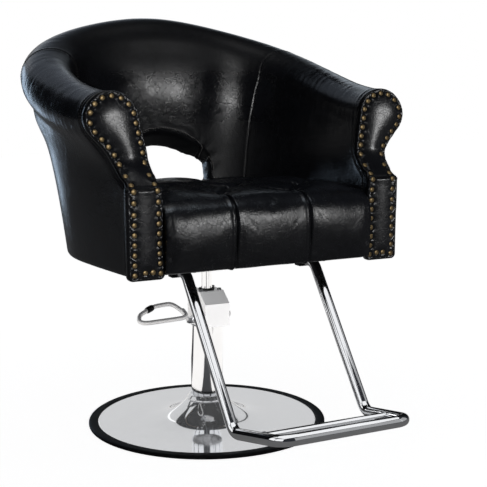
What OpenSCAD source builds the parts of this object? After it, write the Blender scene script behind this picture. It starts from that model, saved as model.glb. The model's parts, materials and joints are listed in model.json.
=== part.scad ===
// Hydraulic styling chair with a rolled tub back, tufted seat and looped footrest.
// Frame: +Z up, the column's axis on the floor is the origin, the chair faces -Y.
// The chair stands at the middle of its lift. All sizes are in millimetres.

/* [Base] */
// Outer diameter of the floor base
base_dia = 600; // [560:1:640]
// Width of the rubber ring round the base
ring_w = 22; // [16:1:28]
// Height of the cover's flare at the column
flare_h = 59; // [50:1:66]
// Diameter of the column's outer tube
column_dia = 79; // [74:1:84]
// Height of the column's top edge
column_top = 250; // [240:1:256]

/* [Lift] */
// Diameter of the piston rod
rod_dia = 28; // [26:1:30]
// Travel of the rod below the modelled height
lift_down = 65; // [40:1:66]

/* [Tub] */
// Height of the shell's lower edge above the floor
shell_bottom = 447; // [440:1:450]
// Half width of the shell at its lower edge
foot_half_w = 358; // [350:1:366]
// Distance from the column's axis to the back's lower edge
foot_back = 311; // [306:1:320]
// Half width between the roll's centre lines
roll_half_w = 363; // [356:1:366]
// Distance from the column's axis to the roll's centre line at the back
roll_back = 361; // [355:1:372]
// Squareness of the roll's plan: 2 is an ellipse
roll_square = 2.8; // [2.4:0.1:3]
// Height of the roll's centre at the arm fronts
roll_low = 778; // [768:1:782]
// Height of the roll's centre at the middle of the back
roll_high = 958; // [940:1:965]
// Radius of the roll at the arm fronts
roll_r_arm = 60; // [58:1:62]
// Radius of the roll at the back
roll_r_back = 65; // [58:1:67]

/* [Arm fronts] */
// Front plane of the lower half of the arm fronts
front_y = -331; // [-336:1:-326]
// Front plane of the scroll-shaped upper half
scroll_y = -262; // [-268:1:-256]
// Thickness of the arm front panels
facing_t = 14; // [12:1:16]
// Diameter of a nail head
nail_dia = 11.2; // [8:0.1:11.4]
// Distance from the panel's edge to the row of nails
nail_inset = 9.5; // [8:0.5:11]

/* [Seat] */
// Half width of the seat cushion
seat_half_w = 253; // [246:1:254]
// Front of the seat cushion where it bulges most
seat_front = -354; // [-358:1:-345]
// Height of the cushion's crown
seat_top = 634; // [620:1:640]
// Height of the cushion's rear edge
seat_rear_top = 596; // [585:1:605]

/* [Back opening] */
// Half width of the arched opening in the back
arch_half_w = 135; // [120:1:140]
// Height of the arch on the seat side
arch_top = 718; // [712:1:724]
// Fall of the opening's axis towards the rear, in degrees
arch_tilt = 42; // [38:1:46]

/* [Footrest] */
// Diameter of the footrest tube
rest_tube_dia = 25; // [22:1:28]
// Half distance between the footrest's legs
rest_half_w = 167; // [160:1:170]
// Front bar of the footrest
rest_front = -655; // [-670:1:-640]
// Bend at the foot of the legs, distance in front of the column
rest_bend_y = -476; // [-486:1:-470]

/* [Pedal] */
// Height of the pedal's hinge pin
pedal_z = 275; // [272:1:280]
// Distance from the column's axis to the pedal's hinge pin
pedal_x = -48; // [-50:1:-46]
// Reach of the pedal's tip from the column's axis
pedal_reach = 206; // [190:1:210]
// Diameter of the pedal's rod
pedal_rod_dia = 11; // [10:1:12]

/* [Hidden] */
$fn = 64;

leather = "#1a1a1d";
chrome = "#d9dbde";
steel = "#8e9196";
black = "#202022";
brass = "#8a6f3c";
plywood = "#c9a878";

base_r = base_dia / 2;
plate_r = base_r - ring_w;
plate_t = 6;
cover_edge_z = 8;
cover_t = 1.5;
column_r = column_dia / 2;
column_wall = 3;
collar_r = 51;
collar_h = 13;
flange_r = 72;
flange_t = 10;
flange_bolt_pcd = 116;

head_w = 66;
head_front = -64;
head_rear = 42;
head_top = 340;
head_shoulder = 313;
rod_r = rod_dia / 2;
run_gap = 0.06;
barrel_r = 26;
barrel_wall = 4;
barrel_low = plate_t + flange_t;
bush_r = 21;
piston_h = 24;
rod_low = piston_h + barrel_low + 6 + lift_down + 15;
thrust_z = 421;
thrust_t = 3;
socket_top = 462;
board_t = 18;
board_z = socket_top;
cushion_low = board_z + board_t + 14;

plunger_r = 5;
plunger_x = -24;
pedal_y = -40;
pin_r = 4;
ear_gap = 18;

rest_r = rest_tube_dia / 2;
rail_z = 446;
rail_w = 56;
rest_top_z = rail_z - rest_r - 0.5;
rest_leg_back = -112;

// ---- Shared helpers ----

function smooth(t) = let(c = min(1, max(0, t))) c * c * (3 - 2 * c);
function mix(a, b, t) = a + (b - a) * t;
function unit(v) = v / norm(v);
function mirror_x(points) = [for (p = points) [-p[0], p[1], p[2]]];
function reversed(list) = [for (i = [len(list) - 1:-1:0]) list[i]];

// Quads of a grid of closed rings, as triangles, with both end caps
function ring_faces(rings, ring_n) = concat(
    [for (i = [0:rings - 2], j = [0:ring_n - 1]) let(k = (j + 1) % ring_n)
        [i * ring_n + j, i * ring_n + k, (i + 1) * ring_n + k]],
    [for (i = [0:rings - 2], j = [0:ring_n - 1]) let(k = (j + 1) % ring_n)
        [i * ring_n + j, (i + 1) * ring_n + k, (i + 1) * ring_n + j]]
);

// Solid lofted through closed rings of equal length; the end rings are flat
module loft(rings) {
    n = len(rings[0]);
    m = len(rings);
    polyhedron(
        points = [for (r = rings, p = r) p],
        faces = concat(
            ring_faces(m, n),
            [[for (j = [n - 1:-1:0]) j], [for (j = [0:n - 1]) (m - 1) * n + j]]
        ),
        convexity = 8
    );
}

// Points of a path whose inner corners are rounded by the given radius
function rounded_path(points, radius, steps) = concat(
    [points[0]],
    [for (i = [1:len(points) - 2])
        let(
            p = points[i],
            into = unit(points[i - 1] - p),
            out = unit(points[i + 1] - p),
            half_turn = acos(min(1, max(-1, into * out))) / 2,
            cut = radius / tan(half_turn),
            start = p + into * cut,
            stop = p + out * cut,
            centre = p + unit(into + out) * radius / sin(half_turn),
            sweep = 180 - 2 * half_turn,
            u = unit(start - centre),
            v = unit((stop - centre) - u * ((stop - centre) * u))
        )
        for (k = [0:steps])
            centre + radius * (u * cos(sweep * k / steps) + v * sin(sweep * k / steps))],
    [points[len(points) - 1]]
);

// Round bar swept along a path, with one fixed direction held across the section
module bar_along(path, radius, across, sides = 16) {
    n = len(path);
    rings = [for (i = [0:n - 1])
        let(
            along = unit(path[min(n - 1, i + 1)] - path[max(0, i - 1)]),
            u = unit(across - along * (across * along)),
            v = cross(along, u)
        )
        [for (k = [0:sides - 1])
            path[i] + radius * (u * cos(360 * k / sides) + v * sin(360 * k / sides))]];
    polyhedron(
        points = [for (r = rings, p = r) p],
        faces = [for (f = concat(
            ring_faces(n, sides),
            [[for (j = [sides - 1:-1:0]) j], [for (j = [0:sides - 1]) (n - 1) * sides + j]]
        )) reversed(f)]
    );
}

module hex_bolt(shank_r, length, head_r, head_h) {
    cylinder(r = shank_r, h = length);
    translate([0, 0, -head_h])
        cylinder(r = head_r, h = head_h, $fn = 6);
}

// ---- Shell form ----

// Front face of the arms at height z: plumb below, coved back to the scroll above
cove_low = 643;
cove_high = 704;
function front_at(z) =
    z < cove_low ? front_y
    : z < cove_high ? mix(front_y, scroll_y - 5, sin(90 * (z - cove_low) / (cove_high - cove_low)))
    : scroll_y - 5 + 13 * (z - cove_high) / (roll_low + roll_r_arm - cove_high);

// The arms are lofted to this plane and then trimmed to the panels' back
arm_start = front_y - 8;

// Plan outline at station s: -1 is the arm's front, 0 the arm's root, 1 the middle of the back
function plan_point(s, half_w, root_y, back_y, square, taper = 0, taper_y = 0) =
    s < 0
    ? let(y = mix(root_y, arm_start, -s))
        [half_w - taper * pow((root_y - y) / (root_y - taper_y), 1.5), y]
    : [
        half_w * pow(max(0, cos(90 * s)), 2 / square),
        root_y + (back_y - root_y) * pow(max(0, sin(90 * s)), 2 / square)
    ];

roll_root = -18;
function roll_plan(s) = plan_point(s, roll_half_w, roll_root, roll_back, roll_square, 20, scroll_y + 10);
function foot_plan(s) = plan_point(s, foot_half_w, -52, foot_back, 2.05, 27, front_y + facing_t);
inner_half_w = 262;
inner_root = -60;
inner_back = 328;
inner_square = 2.6;
wall_low = 560;
function inner_plan(s) =
    plan_point(s, inner_half_w, inner_root, inner_root + inner_back, inner_square, 3, front_y + facing_t);

function roll_normal(s) =
    s <= 0 ? [1, 0]
    : s > 0.985 ? [0, 1]
    : let(d = unit(roll_plan(s + 0.01) - roll_plan(max(0, s - 0.01)))) [d[1], -d[0]];

// Length of the roll's plan curve from the arm's root to station s, as a table
arc_steps = 40;
arc_stations = [for (i = [0:arc_steps]) pow(i / arc_steps, 1.8)];
arc_points = [for (s = arc_stations) roll_plan(s)];
arc_lengths = [for (i = 0, d = 0; i <= arc_steps;
    i = i + 1, d = d + (i <= arc_steps ? norm(arc_points[i] - arc_points[i - 1]) : 0)) d];
arc_table = [for (i = [0:arc_steps]) [arc_stations[i], arc_lengths[i]]];
arm_length = roll_root - scroll_y;

back_pace = 1.1;
arm_rise = 0.13;
neck_mid = 32;
neck_back = 16;
neck_drop = 100;
// Share of the way from the arm's front to the middle of the back
function way(s) =
    (s < 0 ? max(0, roll_plan(s)[1] - scroll_y) : arm_length + lookup(s, arc_table))
    / (arm_length + arc_lengths[arc_steps]);
function roll_height(s) =
    let(u = pow(way(s), back_pace))
    mix(roll_low, roll_high, arm_rise * (u - 2 * u * u + u * u * u) + smooth(u));
function roll_radius(s) = mix(roll_r_arm, roll_r_back, smooth(way(s) * 1.6));
function neck_out(s) =
    mix(-2, neck_mid, smooth(way(s) * 2.2)) - (neck_mid - neck_back) * smooth(way(s) * 2 - 1);

wall_steps = 4;
roll_steps = 13;
outer_steps = 5;
lower_round = 8;
outer_bow = 0.55;

function lift_point(xy, z) = [xy[0], xy[1], z];

// Section of the shell at station s, from the inner foot over the roll to the outer foot
function shell_section(s) =
    let(
        n = roll_normal(s),
        zc = roll_height(s),
        r = roll_radius(s),
        wall_top = zc - 15,
        neck_z = zc - neck_drop
    )
    concat(
        [lift_point(inner_plan(s), shell_bottom)],
        [for (i = [0:wall_steps - 1])
            let(
                t = i / wall_steps,
                low = inner_plan(s),
                high = roll_plan(s) - n * r
            )
            lift_point(mix(low, high, pow(t, mix(1.3, 0.6, smooth(way(s))))), mix(wall_low, wall_top, t))],
        [for (i = [0:roll_steps])
            let(a = 180 - 232 * i / roll_steps)
            lift_point(roll_plan(s) + n * r * cos(a), zc + r * sin(a))],
        [for (i = [0:outer_steps])
            let(
                t = i / outer_steps,
                high = roll_plan(s) + n * neck_out(s),
                low = foot_plan(s)
            )
            lift_point(mix(high, low, pow(t, outer_bow)), mix(neck_z, shell_bottom + lower_round, t))],
        [lift_point(foot_plan(s) - n * lower_round, shell_bottom)]
    );

arm_stations = 5;
back_stations = 18;
stations = concat(
    [for (i = [0:arm_stations - 1]) -1 + i / arm_stations],
    [for (i = [0:back_stations]) pow(i / back_stations, 1.35)]
);

// ---- Arm fronts ----

scroll_x = 342;
// Height and outer half width of the arm front below the scroll's centre
outer_edge = [
    [447, 333], [650, 335], [675, 339], [695, 346], [713, 357],
    [729, 371], [745, 386], [758, 396.5], [roll_low, 402]
];
// Height and inner half width of the arm front below the scroll's centre
inner_edge = [[447, 258], [600, 260], [654, 264], [690, 266.5], [720, 270], [745, 275], [roll_low, 282]];

function edge_x(z, side) =
    z > roll_low
    ? scroll_x + side * sqrt(max(0, pow(roll_r_arm, 2) - pow(z - roll_low, 2)))
    : lookup(z, side > 0 ? outer_edge : inner_edge);

function edge_point(z, side) = [edge_x(z, side), z];

// Outline of the arm front seen from the front, from the outer foot over the scroll
facing_levels = [447, 540, 610, 643, 655, 675, 695, 713, 729, 745, 758, roll_low];
scroll_turns = [15:15:75];
facing_outer = [for (z = facing_levels) edge_point(z, 1)];
facing_inner = [for (z = facing_levels) edge_point(z, -1)];
scroll_outer = [for (a = scroll_turns) [scroll_x + roll_r_arm * cos(a), roll_low + roll_r_arm * sin(a)]];
scroll_inner = [for (a = scroll_turns) [scroll_x - roll_r_arm * cos(a), roll_low + roll_r_arm * sin(a)]];

module facing() {
    outer = concat(facing_outer, scroll_outer, [[scroll_x + 3, roll_low + roll_r_arm]]);
    inner = concat(facing_inner, scroll_inner, [[scroll_x - 3, roll_low + roll_r_arm]]);
    loft([for (i = [0:len(outer) - 1])
        let(z = outer[i][1], y = front_at(z))
        [
            [inner[i][0], y, z], [outer[i][0], y, z],
            [outer[i][0], y + facing_t, z], [inner[i][0], y + facing_t, z]
        ]]);
}

// Point of the nail row on an outline point, moved into the panel by the inset
function inset_at(outline, i) =
    let(
        a = outline[max(0, i - 1)],
        b = outline[min(len(outline) - 1, i + 1)],
        d = unit(b - a)
    )
    outline[i] + nail_inset * [-d[1], d[0]];

nail_outline = concat(
    [[300, 447]],
    [for (z = [447, 500, 560, 610, 643]) edge_point(z, 1)],
    [for (z = [655, 670, 685, 700, 715, 730, 745, 758]) edge_point(z, 1)],
    [for (a = [0:12:180]) [scroll_x + roll_r_arm * cos(a), roll_low + roll_r_arm * sin(a)]],
    [for (z = [750, 725, 700, 675, 655, 643, 600, 540, 490, 447]) edge_point(z, -1)],
    [[290, 447]]
);
nail_line = [for (i = [1:len(nail_outline) - 2]) inset_at(nail_outline, i)];
nail_lengths = [for (i = 0, s = 0; i < len(nail_line);
    s = s + (i + 1 < len(nail_line) ? norm(nail_line[i + 1] - nail_line[i]) : 0), i = i + 1) s];
nail_table = [for (i = [0:len(nail_line) - 1]) [nail_lengths[i], i]];
nail_count = 40;

function along_nails(d) =
    let(k = lookup(d, nail_table), i = min(len(nail_line) - 2, floor(k)))
    mix(nail_line[i], nail_line[i + 1], k - i);

// Lean of the arm front's face at height z, in degrees
function lean_at(z) = atan2(front_at(z + 1) - front_at(z - 1), 2);

dome_r = 7.6;
dome_h = 2.6;
nail_shank = 5;
module nail() {
    intersection() {
        translate([0, 0, dome_h - dome_r])
            sphere(r = dome_r, $fn = 24);
        cylinder(r = nail_dia / 2, h = dome_h);
    }
    translate([0, 0, -nail_shank])
        cylinder(r = 1.1, h = nail_shank + 0.5, $fn = 16);
}

module nail_row() {
    total = nail_lengths[len(nail_line) - 1];
    for (i = [0:nail_count - 1]) {
        p = along_nails(total * i / (nail_count - 1));
        place_nail(p);
    }
    for (x = [284, 301.5])
        place_nail([x, 447 + nail_inset]);
}

module place_nail(p) {
    translate([p[0], front_at(p[1]), p[1]])
        rotate([90 - lean_at(p[1]), 0, 0])
            nail();
}

// ---- Base ----

module base_plate() {
    color(steel)
        difference() {
            cylinder(r = plate_r - 1, h = plate_t);
            for (a = [45:90:315])
                rotate(a)
                    translate([flange_bolt_pcd / 2, 0, 1])
                        cylinder(r = 4.2, h = plate_t);
        }
}

module floor_ring() {
    color(black)
        rotate_extrude($fn = 120)
            polygon([
                [plate_r - 0.5, 0], [base_r - 2, 0], [base_r, 2], [base_r, 6],
                [base_r - 4, 9], [base_r - ring_w + 3, 10], [plate_r - 0.5, 10]
            ]);
}

cover_steps = 20;
function cover_z(r) = mix(cover_edge_z, flare_h, pow((plate_r - 1 - r) / (plate_r - 1 - collar_r), 5.5));
module base_cover() {
    rim = plate_r - 1;
    radii = [for (i = [0:cover_steps]) mix(rim, column_r + 6, sin(90 * i / cover_steps))];
    color(chrome)
        rotate_extrude($fn = 120)
            polygon(concat(
                [for (r = radii) [r, r < collar_r ? flare_h - cover_t : cover_z(r) - cover_t]],
                [for (i = [cover_steps:-1:0]) let(r = radii[i]) [r, r < collar_r ? flare_h : cover_z(r)]]
            ));
}

module column_collar() {
    color(chrome)
        translate([0, 0, flare_h])
            rotate_extrude()
                polygon([
                    [column_r + 0.2, 0], [collar_r, 0], [collar_r, 4],
                    [collar_r - 4, collar_h - 3], [collar_r - 7, collar_h], [column_r + 0.2, collar_h]
                ]);
}

module column_tube() {
    color(chrome)
        translate([0, 0, barrel_low])
            difference() {
                cylinder(r = column_r, h = column_top - barrel_low);
                translate([0, 0, -1])
                    cylinder(r = column_r - column_wall, h = column_top);
            }
}

module pump_flange() {
    color(steel)
        translate([0, 0, plate_t])
            difference() {
                cylinder(r = flange_r, h = flange_t);
                for (a = [45:90:315])
                    rotate(a)
                        translate([flange_bolt_pcd / 2, 0, -1])
                            cylinder(r = 4.2, h = flange_t + 2);
            }
}

module flange_bolts() {
    color(steel)
        for (a = [45:90:315])
            rotate(a)
                translate([flange_bolt_pcd / 2, 0, plate_t + flange_t])
                    mirror([0, 0, 1])
                        hex_bolt(4, flange_t + 4, 7, 5.3);
}

module pump_cylinder() {
    color(steel)
        translate([0, 0, barrel_low])
            difference() {
                cylinder(r = barrel_r + barrel_wall, h = column_top - barrel_low - 6);
                translate([0, 0, 6])
                    cylinder(r = barrel_r, h = column_top);
            }
}

// Side view of the pump head, as front-to-rear and height
head_side = [
    [head_front, column_top + 6], [head_front, head_shoulder], [-30, head_top],
    [26, head_top], [head_rear, head_top - 14], [head_rear, column_top + 6],
    [34, column_top], [head_front + 24, column_top]
];

module pump_head() {
    slot_w = ear_gap + 2;
    color(chrome)
        difference() {
            union() {
                translate([-head_w / 2, 0, 0])
                    rotate([90, 0, 90])
                        linear_extrude(head_w)
                            polygon(head_side);
                for (side = [-1, 1])
                    translate([pedal_x, pedal_y + side * (ear_gap / 2 + 4) + 3, pedal_z])
                        rotate([90, 0, 0])
                            union() {
                                cylinder(r = 9, h = 6);
                                translate([0, -9, 0])
                                    cube([-pedal_x - head_w / 2 + 4, 18, 6]);
                            }
            }
            translate([0, 0, column_top - 1])
                cylinder(r = bush_r, h = head_top - column_top - 9);
            translate([0, 0, head_top - 12])
                cylinder(r = rod_r + 1, h = 20);
            translate([0, 0, head_top - 5])
                cylinder(r = rod_r + 6, h = 20);
            translate([pedal_x, 0, pedal_z])
                rotate([90, 0, 0])
                    cylinder(r = pin_r, h = 200, center = true);
            translate([-head_w / 2 - 1, pedal_y - slot_w / 2, pedal_z - 11])
                cube([head_w / 2 + plunger_x + 9, slot_w, 30]);
            translate([plunger_x, pedal_y, pedal_z])
                cylinder(r = plunger_r + run_gap, h = head_shoulder - pedal_z - 4);
            for (p = head_screw_places)
                translate([p[0], p[1], head_top - 14])
                    cylinder(r = 3.2, h = 20);
        }
}

head_screw_places = [[-25, 16], [25, 16], [25, -22], [-25, -22]];
module head_screws() {
    color(steel)
        for (p = head_screw_places)
            translate([p[0], p[1], head_top - 14])
                difference() {
                    union() {
                        cylinder(r = 3, h = 14);
                        translate([0, 0, 14])
                            cylinder(r = 5, h = 4.5);
                    }
                    translate([0, 0, 15.5])
                        cylinder(r = 2.4, h = 5, $fn = 6);
                }
}

module rod_bush() {
    color(brass)
        translate([0, 0, column_top])
            difference() {
                cylinder(r = bush_r - 0.2, h = head_top - column_top - 12);
                translate([0, 0, -1])
                    cylinder(r = rod_r + run_gap, h = head_top);
            }
}

module rod_wiper() {
    color(black)
        translate([0, 0, head_top - 5])
            difference() {
                cylinder(r = rod_r + 5.8, h = 8);
                translate([0, 0, -1])
                    cylinder(r = rod_r + run_gap, h = 10);
            }
}

module pedal_pin() {
    color(steel)
        translate([pedal_x, pedal_y + ear_gap / 2 + 10, pedal_z])
            rotate([90, 0, 0])
                union() {
                    cylinder(r = pin_r, h = ear_gap + 19);
                    translate([0, 0, -2.5])
                        cylinder(r = pin_r + 2.5, h = 2.5);
                }
}

module side_cap() {
    color(chrome)
        translate([head_w / 2, -24, pedal_z + 3])
            rotate([0, 90, 0])
                rotate_extrude()
                    polygon([[0, 0], [10, 0], [10, 16], [8, 19], [0, 20]]);
}

// ---- Rod ----

module piston_rod() {
    color(chrome)
        union() {
            translate([0, 0, rod_low])
                cylinder(r = rod_r, h = socket_top - 2 - rod_low);
            translate([0, 0, thrust_z - 6])
                cylinder(r = rod_r + 9, h = 6);
            translate([0, 0, rod_low - piston_h - 4])
                cylinder(r = 8, h = piston_h + 5);
        }
}

module piston() {
    color(steel)
        translate([0, 0, rod_low - piston_h])
            difference() {
                cylinder(r = barrel_r - 0.1, h = piston_h);
                translate([0, 0, -1])
                    cylinder(r = 8, h = piston_h + 2);
                translate([0, 0, 8])
                    difference() {
                        cylinder(r = barrel_r + 1, h = 8);
                        cylinder(r = barrel_r - 4, h = 8);
                    }
            }
}

module piston_seal() {
    color(black)
        translate([0, 0, rod_low - piston_h + 8.2])
            difference() {
                cylinder(r = barrel_r - 0.05, h = 7.6);
                translate([0, 0, -1])
                    cylinder(r = barrel_r - 4, h = 10);
            }
}

module swivel_bearing() {
    color(brass)
        translate([0, 0, thrust_z])
            difference() {
                cylinder(r = rod_r + 9, h = thrust_t);
                translate([0, 0, -1])
                    cylinder(r = rod_r, h = thrust_t + 2);
            }
}

// ---- Seat ----

socket_w = 200;
socket_d = 160;
socket_plate_t = 6;
module seat_socket() {
    collar_low = thrust_z + thrust_t + 0.05;
    color(steel)
        difference() {
            union() {
                translate([0, 0, collar_low])
                    cylinder(r = 30, h = socket_top - collar_low);
                translate([-socket_w / 2, -socket_d / 2, socket_top - socket_plate_t])
                    cube([socket_w, socket_d, socket_plate_t]);
                for (a = [0:90:270])
                    rotate(a)
                        translate([28, -2.5, collar_low + 8])
                            cube([42, 5, socket_top - collar_low - 10]);
            }
            translate([0, 0, collar_low - 1])
                cylinder(r = rod_r + run_gap, h = 60);
            translate([0, 0, socket_top])
                socket_bolt_places()
                    cylinder(r = 4.2, h = 40, center = true);
        }
}

module socket_bolt_places() {
    for (x = [-80, 80], y = [-60, 60])
        translate([x, y, 0])
            children();
}

module socket_bolts() {
    color(steel)
        translate([0, 0, socket_top - socket_plate_t])
            socket_bolt_places()
                hex_bolt(4, socket_plate_t + board_t - 3, 7, 5.3);
}

rail_front = -300;
rail_rear = 150;
module under_rails() {
    color(steel)
        for (side = [-1, 1])
            translate([side * rest_half_w - rail_w / 2, rail_front, rail_z])
                difference() {
                    cube([rail_w, rail_rear - rail_front, board_z - rail_z]);
                    translate([2, -1, 2])
                        cube([rail_w - 4, rail_rear - rail_front + 2, board_z - rail_z - 4]);
                    for (y = rail_bolt_ys)
                        translate([rail_w / 2, y - rail_front, -1])
                            cylinder(r = 3.2, h = 40);
                    for (y = clamp_ys, x = [-1, 1])
                        translate([rail_w / 2 + x * clamp_hole, y - rail_front, -1])
                            cylinder(r = clamp_bolt_r + 0.1, h = 4);
                }
}

rail_bolt_ys = [-285, 120];
module rail_bolts() {
    color(steel)
        for (side = [-1, 1], y = rail_bolt_ys)
            translate([side * rest_half_w, y, rail_z])
                hex_bolt(3, board_z - rail_z + board_t - 3, 5.5, 4);
}

// Outline that fits between the arms and the back, drawn inwards by a margin
module seat_outline(half_w, front, margin) {
    corner = [for (i = [0:12])
        plan_point(i / 12, half_w - margin, -60, 262 - margin, 2.5)];
    right = concat([[half_w - margin, front + margin]], corner);
    polygon(concat(right, [for (i = [len(right) - 2:-1:0]) [-right[i][0], right[i][1]]]));
}

module seat_board() {
    color(plywood)
        translate([0, 0, board_z])
            difference() {
                linear_extrude(board_t)
                    seat_outline(seat_half_w, -318, 3);
                socket_bolt_places()
                    cylinder(r = 4, h = 2 * (board_t - 3), center = true);
                for (side = [-1, 1], y = rail_bolt_ys)
                    translate([side * rest_half_w, y, -1])
                        cylinder(r = 3, h = board_t - 2);
            }
}

dust_z = shell_bottom + 1;
module dust_cover() {
    color(black)
        translate([0, 0, dust_z])
            linear_extrude(0.8)
                difference() {
                    seat_outline(seat_half_w, -318, 3);
                    circle(r = 80);
                    for (side = [-1, 1])
                        translate([side * rest_half_w - rail_w / 2 - 2, rail_front - 3])
                            square([rail_w + 4, rail_rear - rail_front + 6]);
                }
}

// Zigzag springs, laid across the board under the foam
spring_rows = 5;
spring_wave = 14;
module seat_springs() {
    color(steel)
        for (row = [0:spring_rows - 1]) {
            y0 = -230 + 95 * row;
            path = [for (i = [0:40]) [-200 + 10 * i, y0 + spring_wave * sin(90 * i), board_z + board_t + 7]];
            bar_along(path, 1.8, [0, 0, 1], 6);
        }
}

module cushion_slab(z, margin, front) {
    translate([0, 0, z])
        linear_extrude(1)
            seat_outline(seat_half_w, front, margin);
}

apron_t = 33;
bulge_z = 548;
module seat_cushion() {
    color(leather)
        union() {
            hull() {
                cushion_slab(cushion_low, 0, seat_front + 10);
                cushion_slab(bulge_z, 0, seat_front);
                cushion_slab(seat_rear_top - 9, 5, seat_front + 3);
                translate([-seat_half_w + 50, seat_front + 95, seat_top - 2])
                    cube([2 * seat_half_w - 100, 190, 2]);
            }
            hull() {
                translate([-seat_half_w, seat_front + 12, shell_bottom])
                    cube([2 * seat_half_w, apron_t - 12, 1]);
                translate([-seat_half_w, seat_front, bulge_z])
                    cube([2 * seat_half_w, apron_t, 1]);
            }
        }
}

// ---- Tub ----

board_arc = 56;
frame_r = 332;
frame_t = 15;
frame_h = 105;
module frame_ring(gap) {
    translate([0, -52, shell_bottom - gap])
        rotate(90 - board_arc)
            rotate_extrude(angle = 2 * board_arc, $fn = 96)
                translate([frame_r - gap, 0])
                    square([frame_t + 2 * gap, frame_h + 2 * gap]);
}

arch_face = 286;
arch_low = 583;
arch_near = 180;
arch_far = 400;
// Slice of the opening at distance y, lower towards the rear
module arch_slice(y) {
    translate([0, y, arch_top - arch_half_w + (arch_face - y) * tan(arch_tilt)])
        rotate([90, 0, 0])
            linear_extrude(0.1)
                union() {
                    circle(r = arch_half_w, $fn = 72);
                    translate([-arch_half_w, -2 * arch_half_w])
                        square([2 * arch_half_w, 2 * arch_half_w]);
                }
}

module arch_cut() {
    intersection() {
        hull() {
            arch_slice(arch_near);
            arch_slice(arch_far);
        }
        translate([-arch_half_w - 1, arch_near, arch_low])
            cube([2 * arch_half_w + 2, arch_far - arch_near, 300]);
    }
}

// Everything in front of the panels' back faces
panel_gap = 1.5;
module facing_trim() {
    top = roll_low + roll_r_arm + 20;
    levels = concat(facing_levels, [for (a = scroll_turns) roll_low + roll_r_arm * sin(a)], [roll_low + roll_r_arm, top]);
    back = [for (z = levels) [front_at(min(z, roll_low + roll_r_arm)) + facing_t + panel_gap, z]];
    translate([-500, 0, 0])
        rotate([90, 0, 90])
            linear_extrude(1000)
                polygon(concat([[-420, shell_bottom - 20], [back[0][0], shell_bottom - 20]], back, [[-420, top]]));
}

module tub_shell() {
    right = [for (s = stations) shell_section(s)];
    left = [for (i = [len(stations) - 2:-1:0]) mirror_x(right[i])];
    color(leather)
        difference() {
            loft(concat(right, left));
            facing_trim();
            arch_cut();
            frame_ring(0.3);
        }
}

module back_frame() {
    color(plywood)
        frame_ring(0);
}

// Point of the back's seat side at station s and height z
function back_face(s, z) =
    let(
        t = (z - wall_low) / (roll_height(s) - 15 - wall_low),
        low = inner_plan(s),
        high = roll_plan(s) - roll_normal(s) * roll_radius(s)
    )
    mix(low, high, pow(max(0, t), mix(1.3, 0.6, smooth(way(s)))));

// Station between a and b at which the back's seat side has half width x at height z
function station_at(x, z, a = 0, b = 1, tries = 16) =
    tries == 0 ? (a + b) / 2
    : back_face((a + b) / 2, z)[0] > x ? station_at(x, z, (a + b) / 2, b, tries - 1)
    : station_at(x, z, a, (a + b) / 2, tries - 1);

function arch_edge(a) =
    let(
        x = arch_half_w * cos(a),
        z = arch_top - arch_half_w + arch_half_w * sin(a)
    )
    [x, back_face(station_at(abs(x), z), z)[1], z];

module opening_piping() {
    color(leather)
        bar_along([for (i = [0:28]) arch_edge(180 * i / 28)], 2.5, [0, 1, 0], 8);
}

module left_facing() {
    color(leather)
        mirror([1, 0, 0])
            facing();
}

module right_facing() {
    color(leather)
        facing();
}

module left_nails() {
    color(brass)
        mirror([1, 0, 0])
            nail_row();
}

module right_nails() {
    color(brass)
        nail_row();
}

// ---- Footrest ----

rest_bend_z = 130;
rest_front_z = 164;
rest_knee_y = -244;
module footrest_frame() {
    leg = [
        [rest_half_w, rest_leg_back, rest_top_z],
        [rest_half_w, rest_knee_y, rest_top_z],
        [rest_half_w - 2, rest_bend_y, rest_bend_z],
        [rest_half_w - 15, rest_front, rest_front_z]
    ];
    path = rounded_path(concat(leg, reversed(mirror_x(leg))), 34, 5);
    color(chrome)
        bar_along(path, rest_r, [0.02, 0.55, 0.83], 18);
}

rest_bar_y = -574;
rest_bar_z = 147;
module footrest_bar() {
    share = (rest_bar_y - rest_bend_y) / (rest_front - rest_bend_y);
    half = mix(rest_half_w - 2, rest_half_w - 15, share) - rest_r - 0.8;
    color(chrome)
        translate([-half, rest_bar_y, rest_bar_z])
            rotate([0, 90, 0])
                cylinder(r = rest_r - 1.5, h = 2 * half);
}

clamp_ys = [-192, -130];
clamp_hole = 21.5;
clamp_t = 3;
clamp_len = 24;
clamp_bolt_r = 2.5;
module footrest_clamps() {
    outer = rest_r + clamp_t;
    color(steel)
        for (side = [-1, 1], y = clamp_ys)
            translate([side * rest_half_w, y, 0])
                difference() {
                    union() {
                        translate([-outer, -clamp_len / 2, rest_top_z - outer])
                            cube([2 * outer, clamp_len, rail_z - rest_top_z + outer]);
                        translate([-rail_w / 2, -clamp_len / 2, rail_z - clamp_t])
                            cube([rail_w, clamp_len, clamp_t]);
                    }
                    translate([0, 0, rest_top_z])
                        rotate([90, 0, 0])
                            cylinder(r = rest_r + 0.3, h = 60, center = true);
                    translate([-rest_r - 0.3, -20, rest_top_z])
                        cube([2 * rest_r + 0.6, 40, 40]);
                    for (x = [-1, 1])
                        translate([x * clamp_hole, 0, rail_z - 10])
                            cylinder(r = clamp_bolt_r + 0.1, h = 20);
                }
}

module clamp_bolts() {
    color(steel)
        for (side = [-1, 1], y = clamp_ys, x = [-1, 1])
            translate([side * rest_half_w + x * clamp_hole, y, rail_z - clamp_t])
                hex_bolt(clamp_bolt_r, 9, 4.3, 3.5);
}

// ---- Pedal ----

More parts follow.
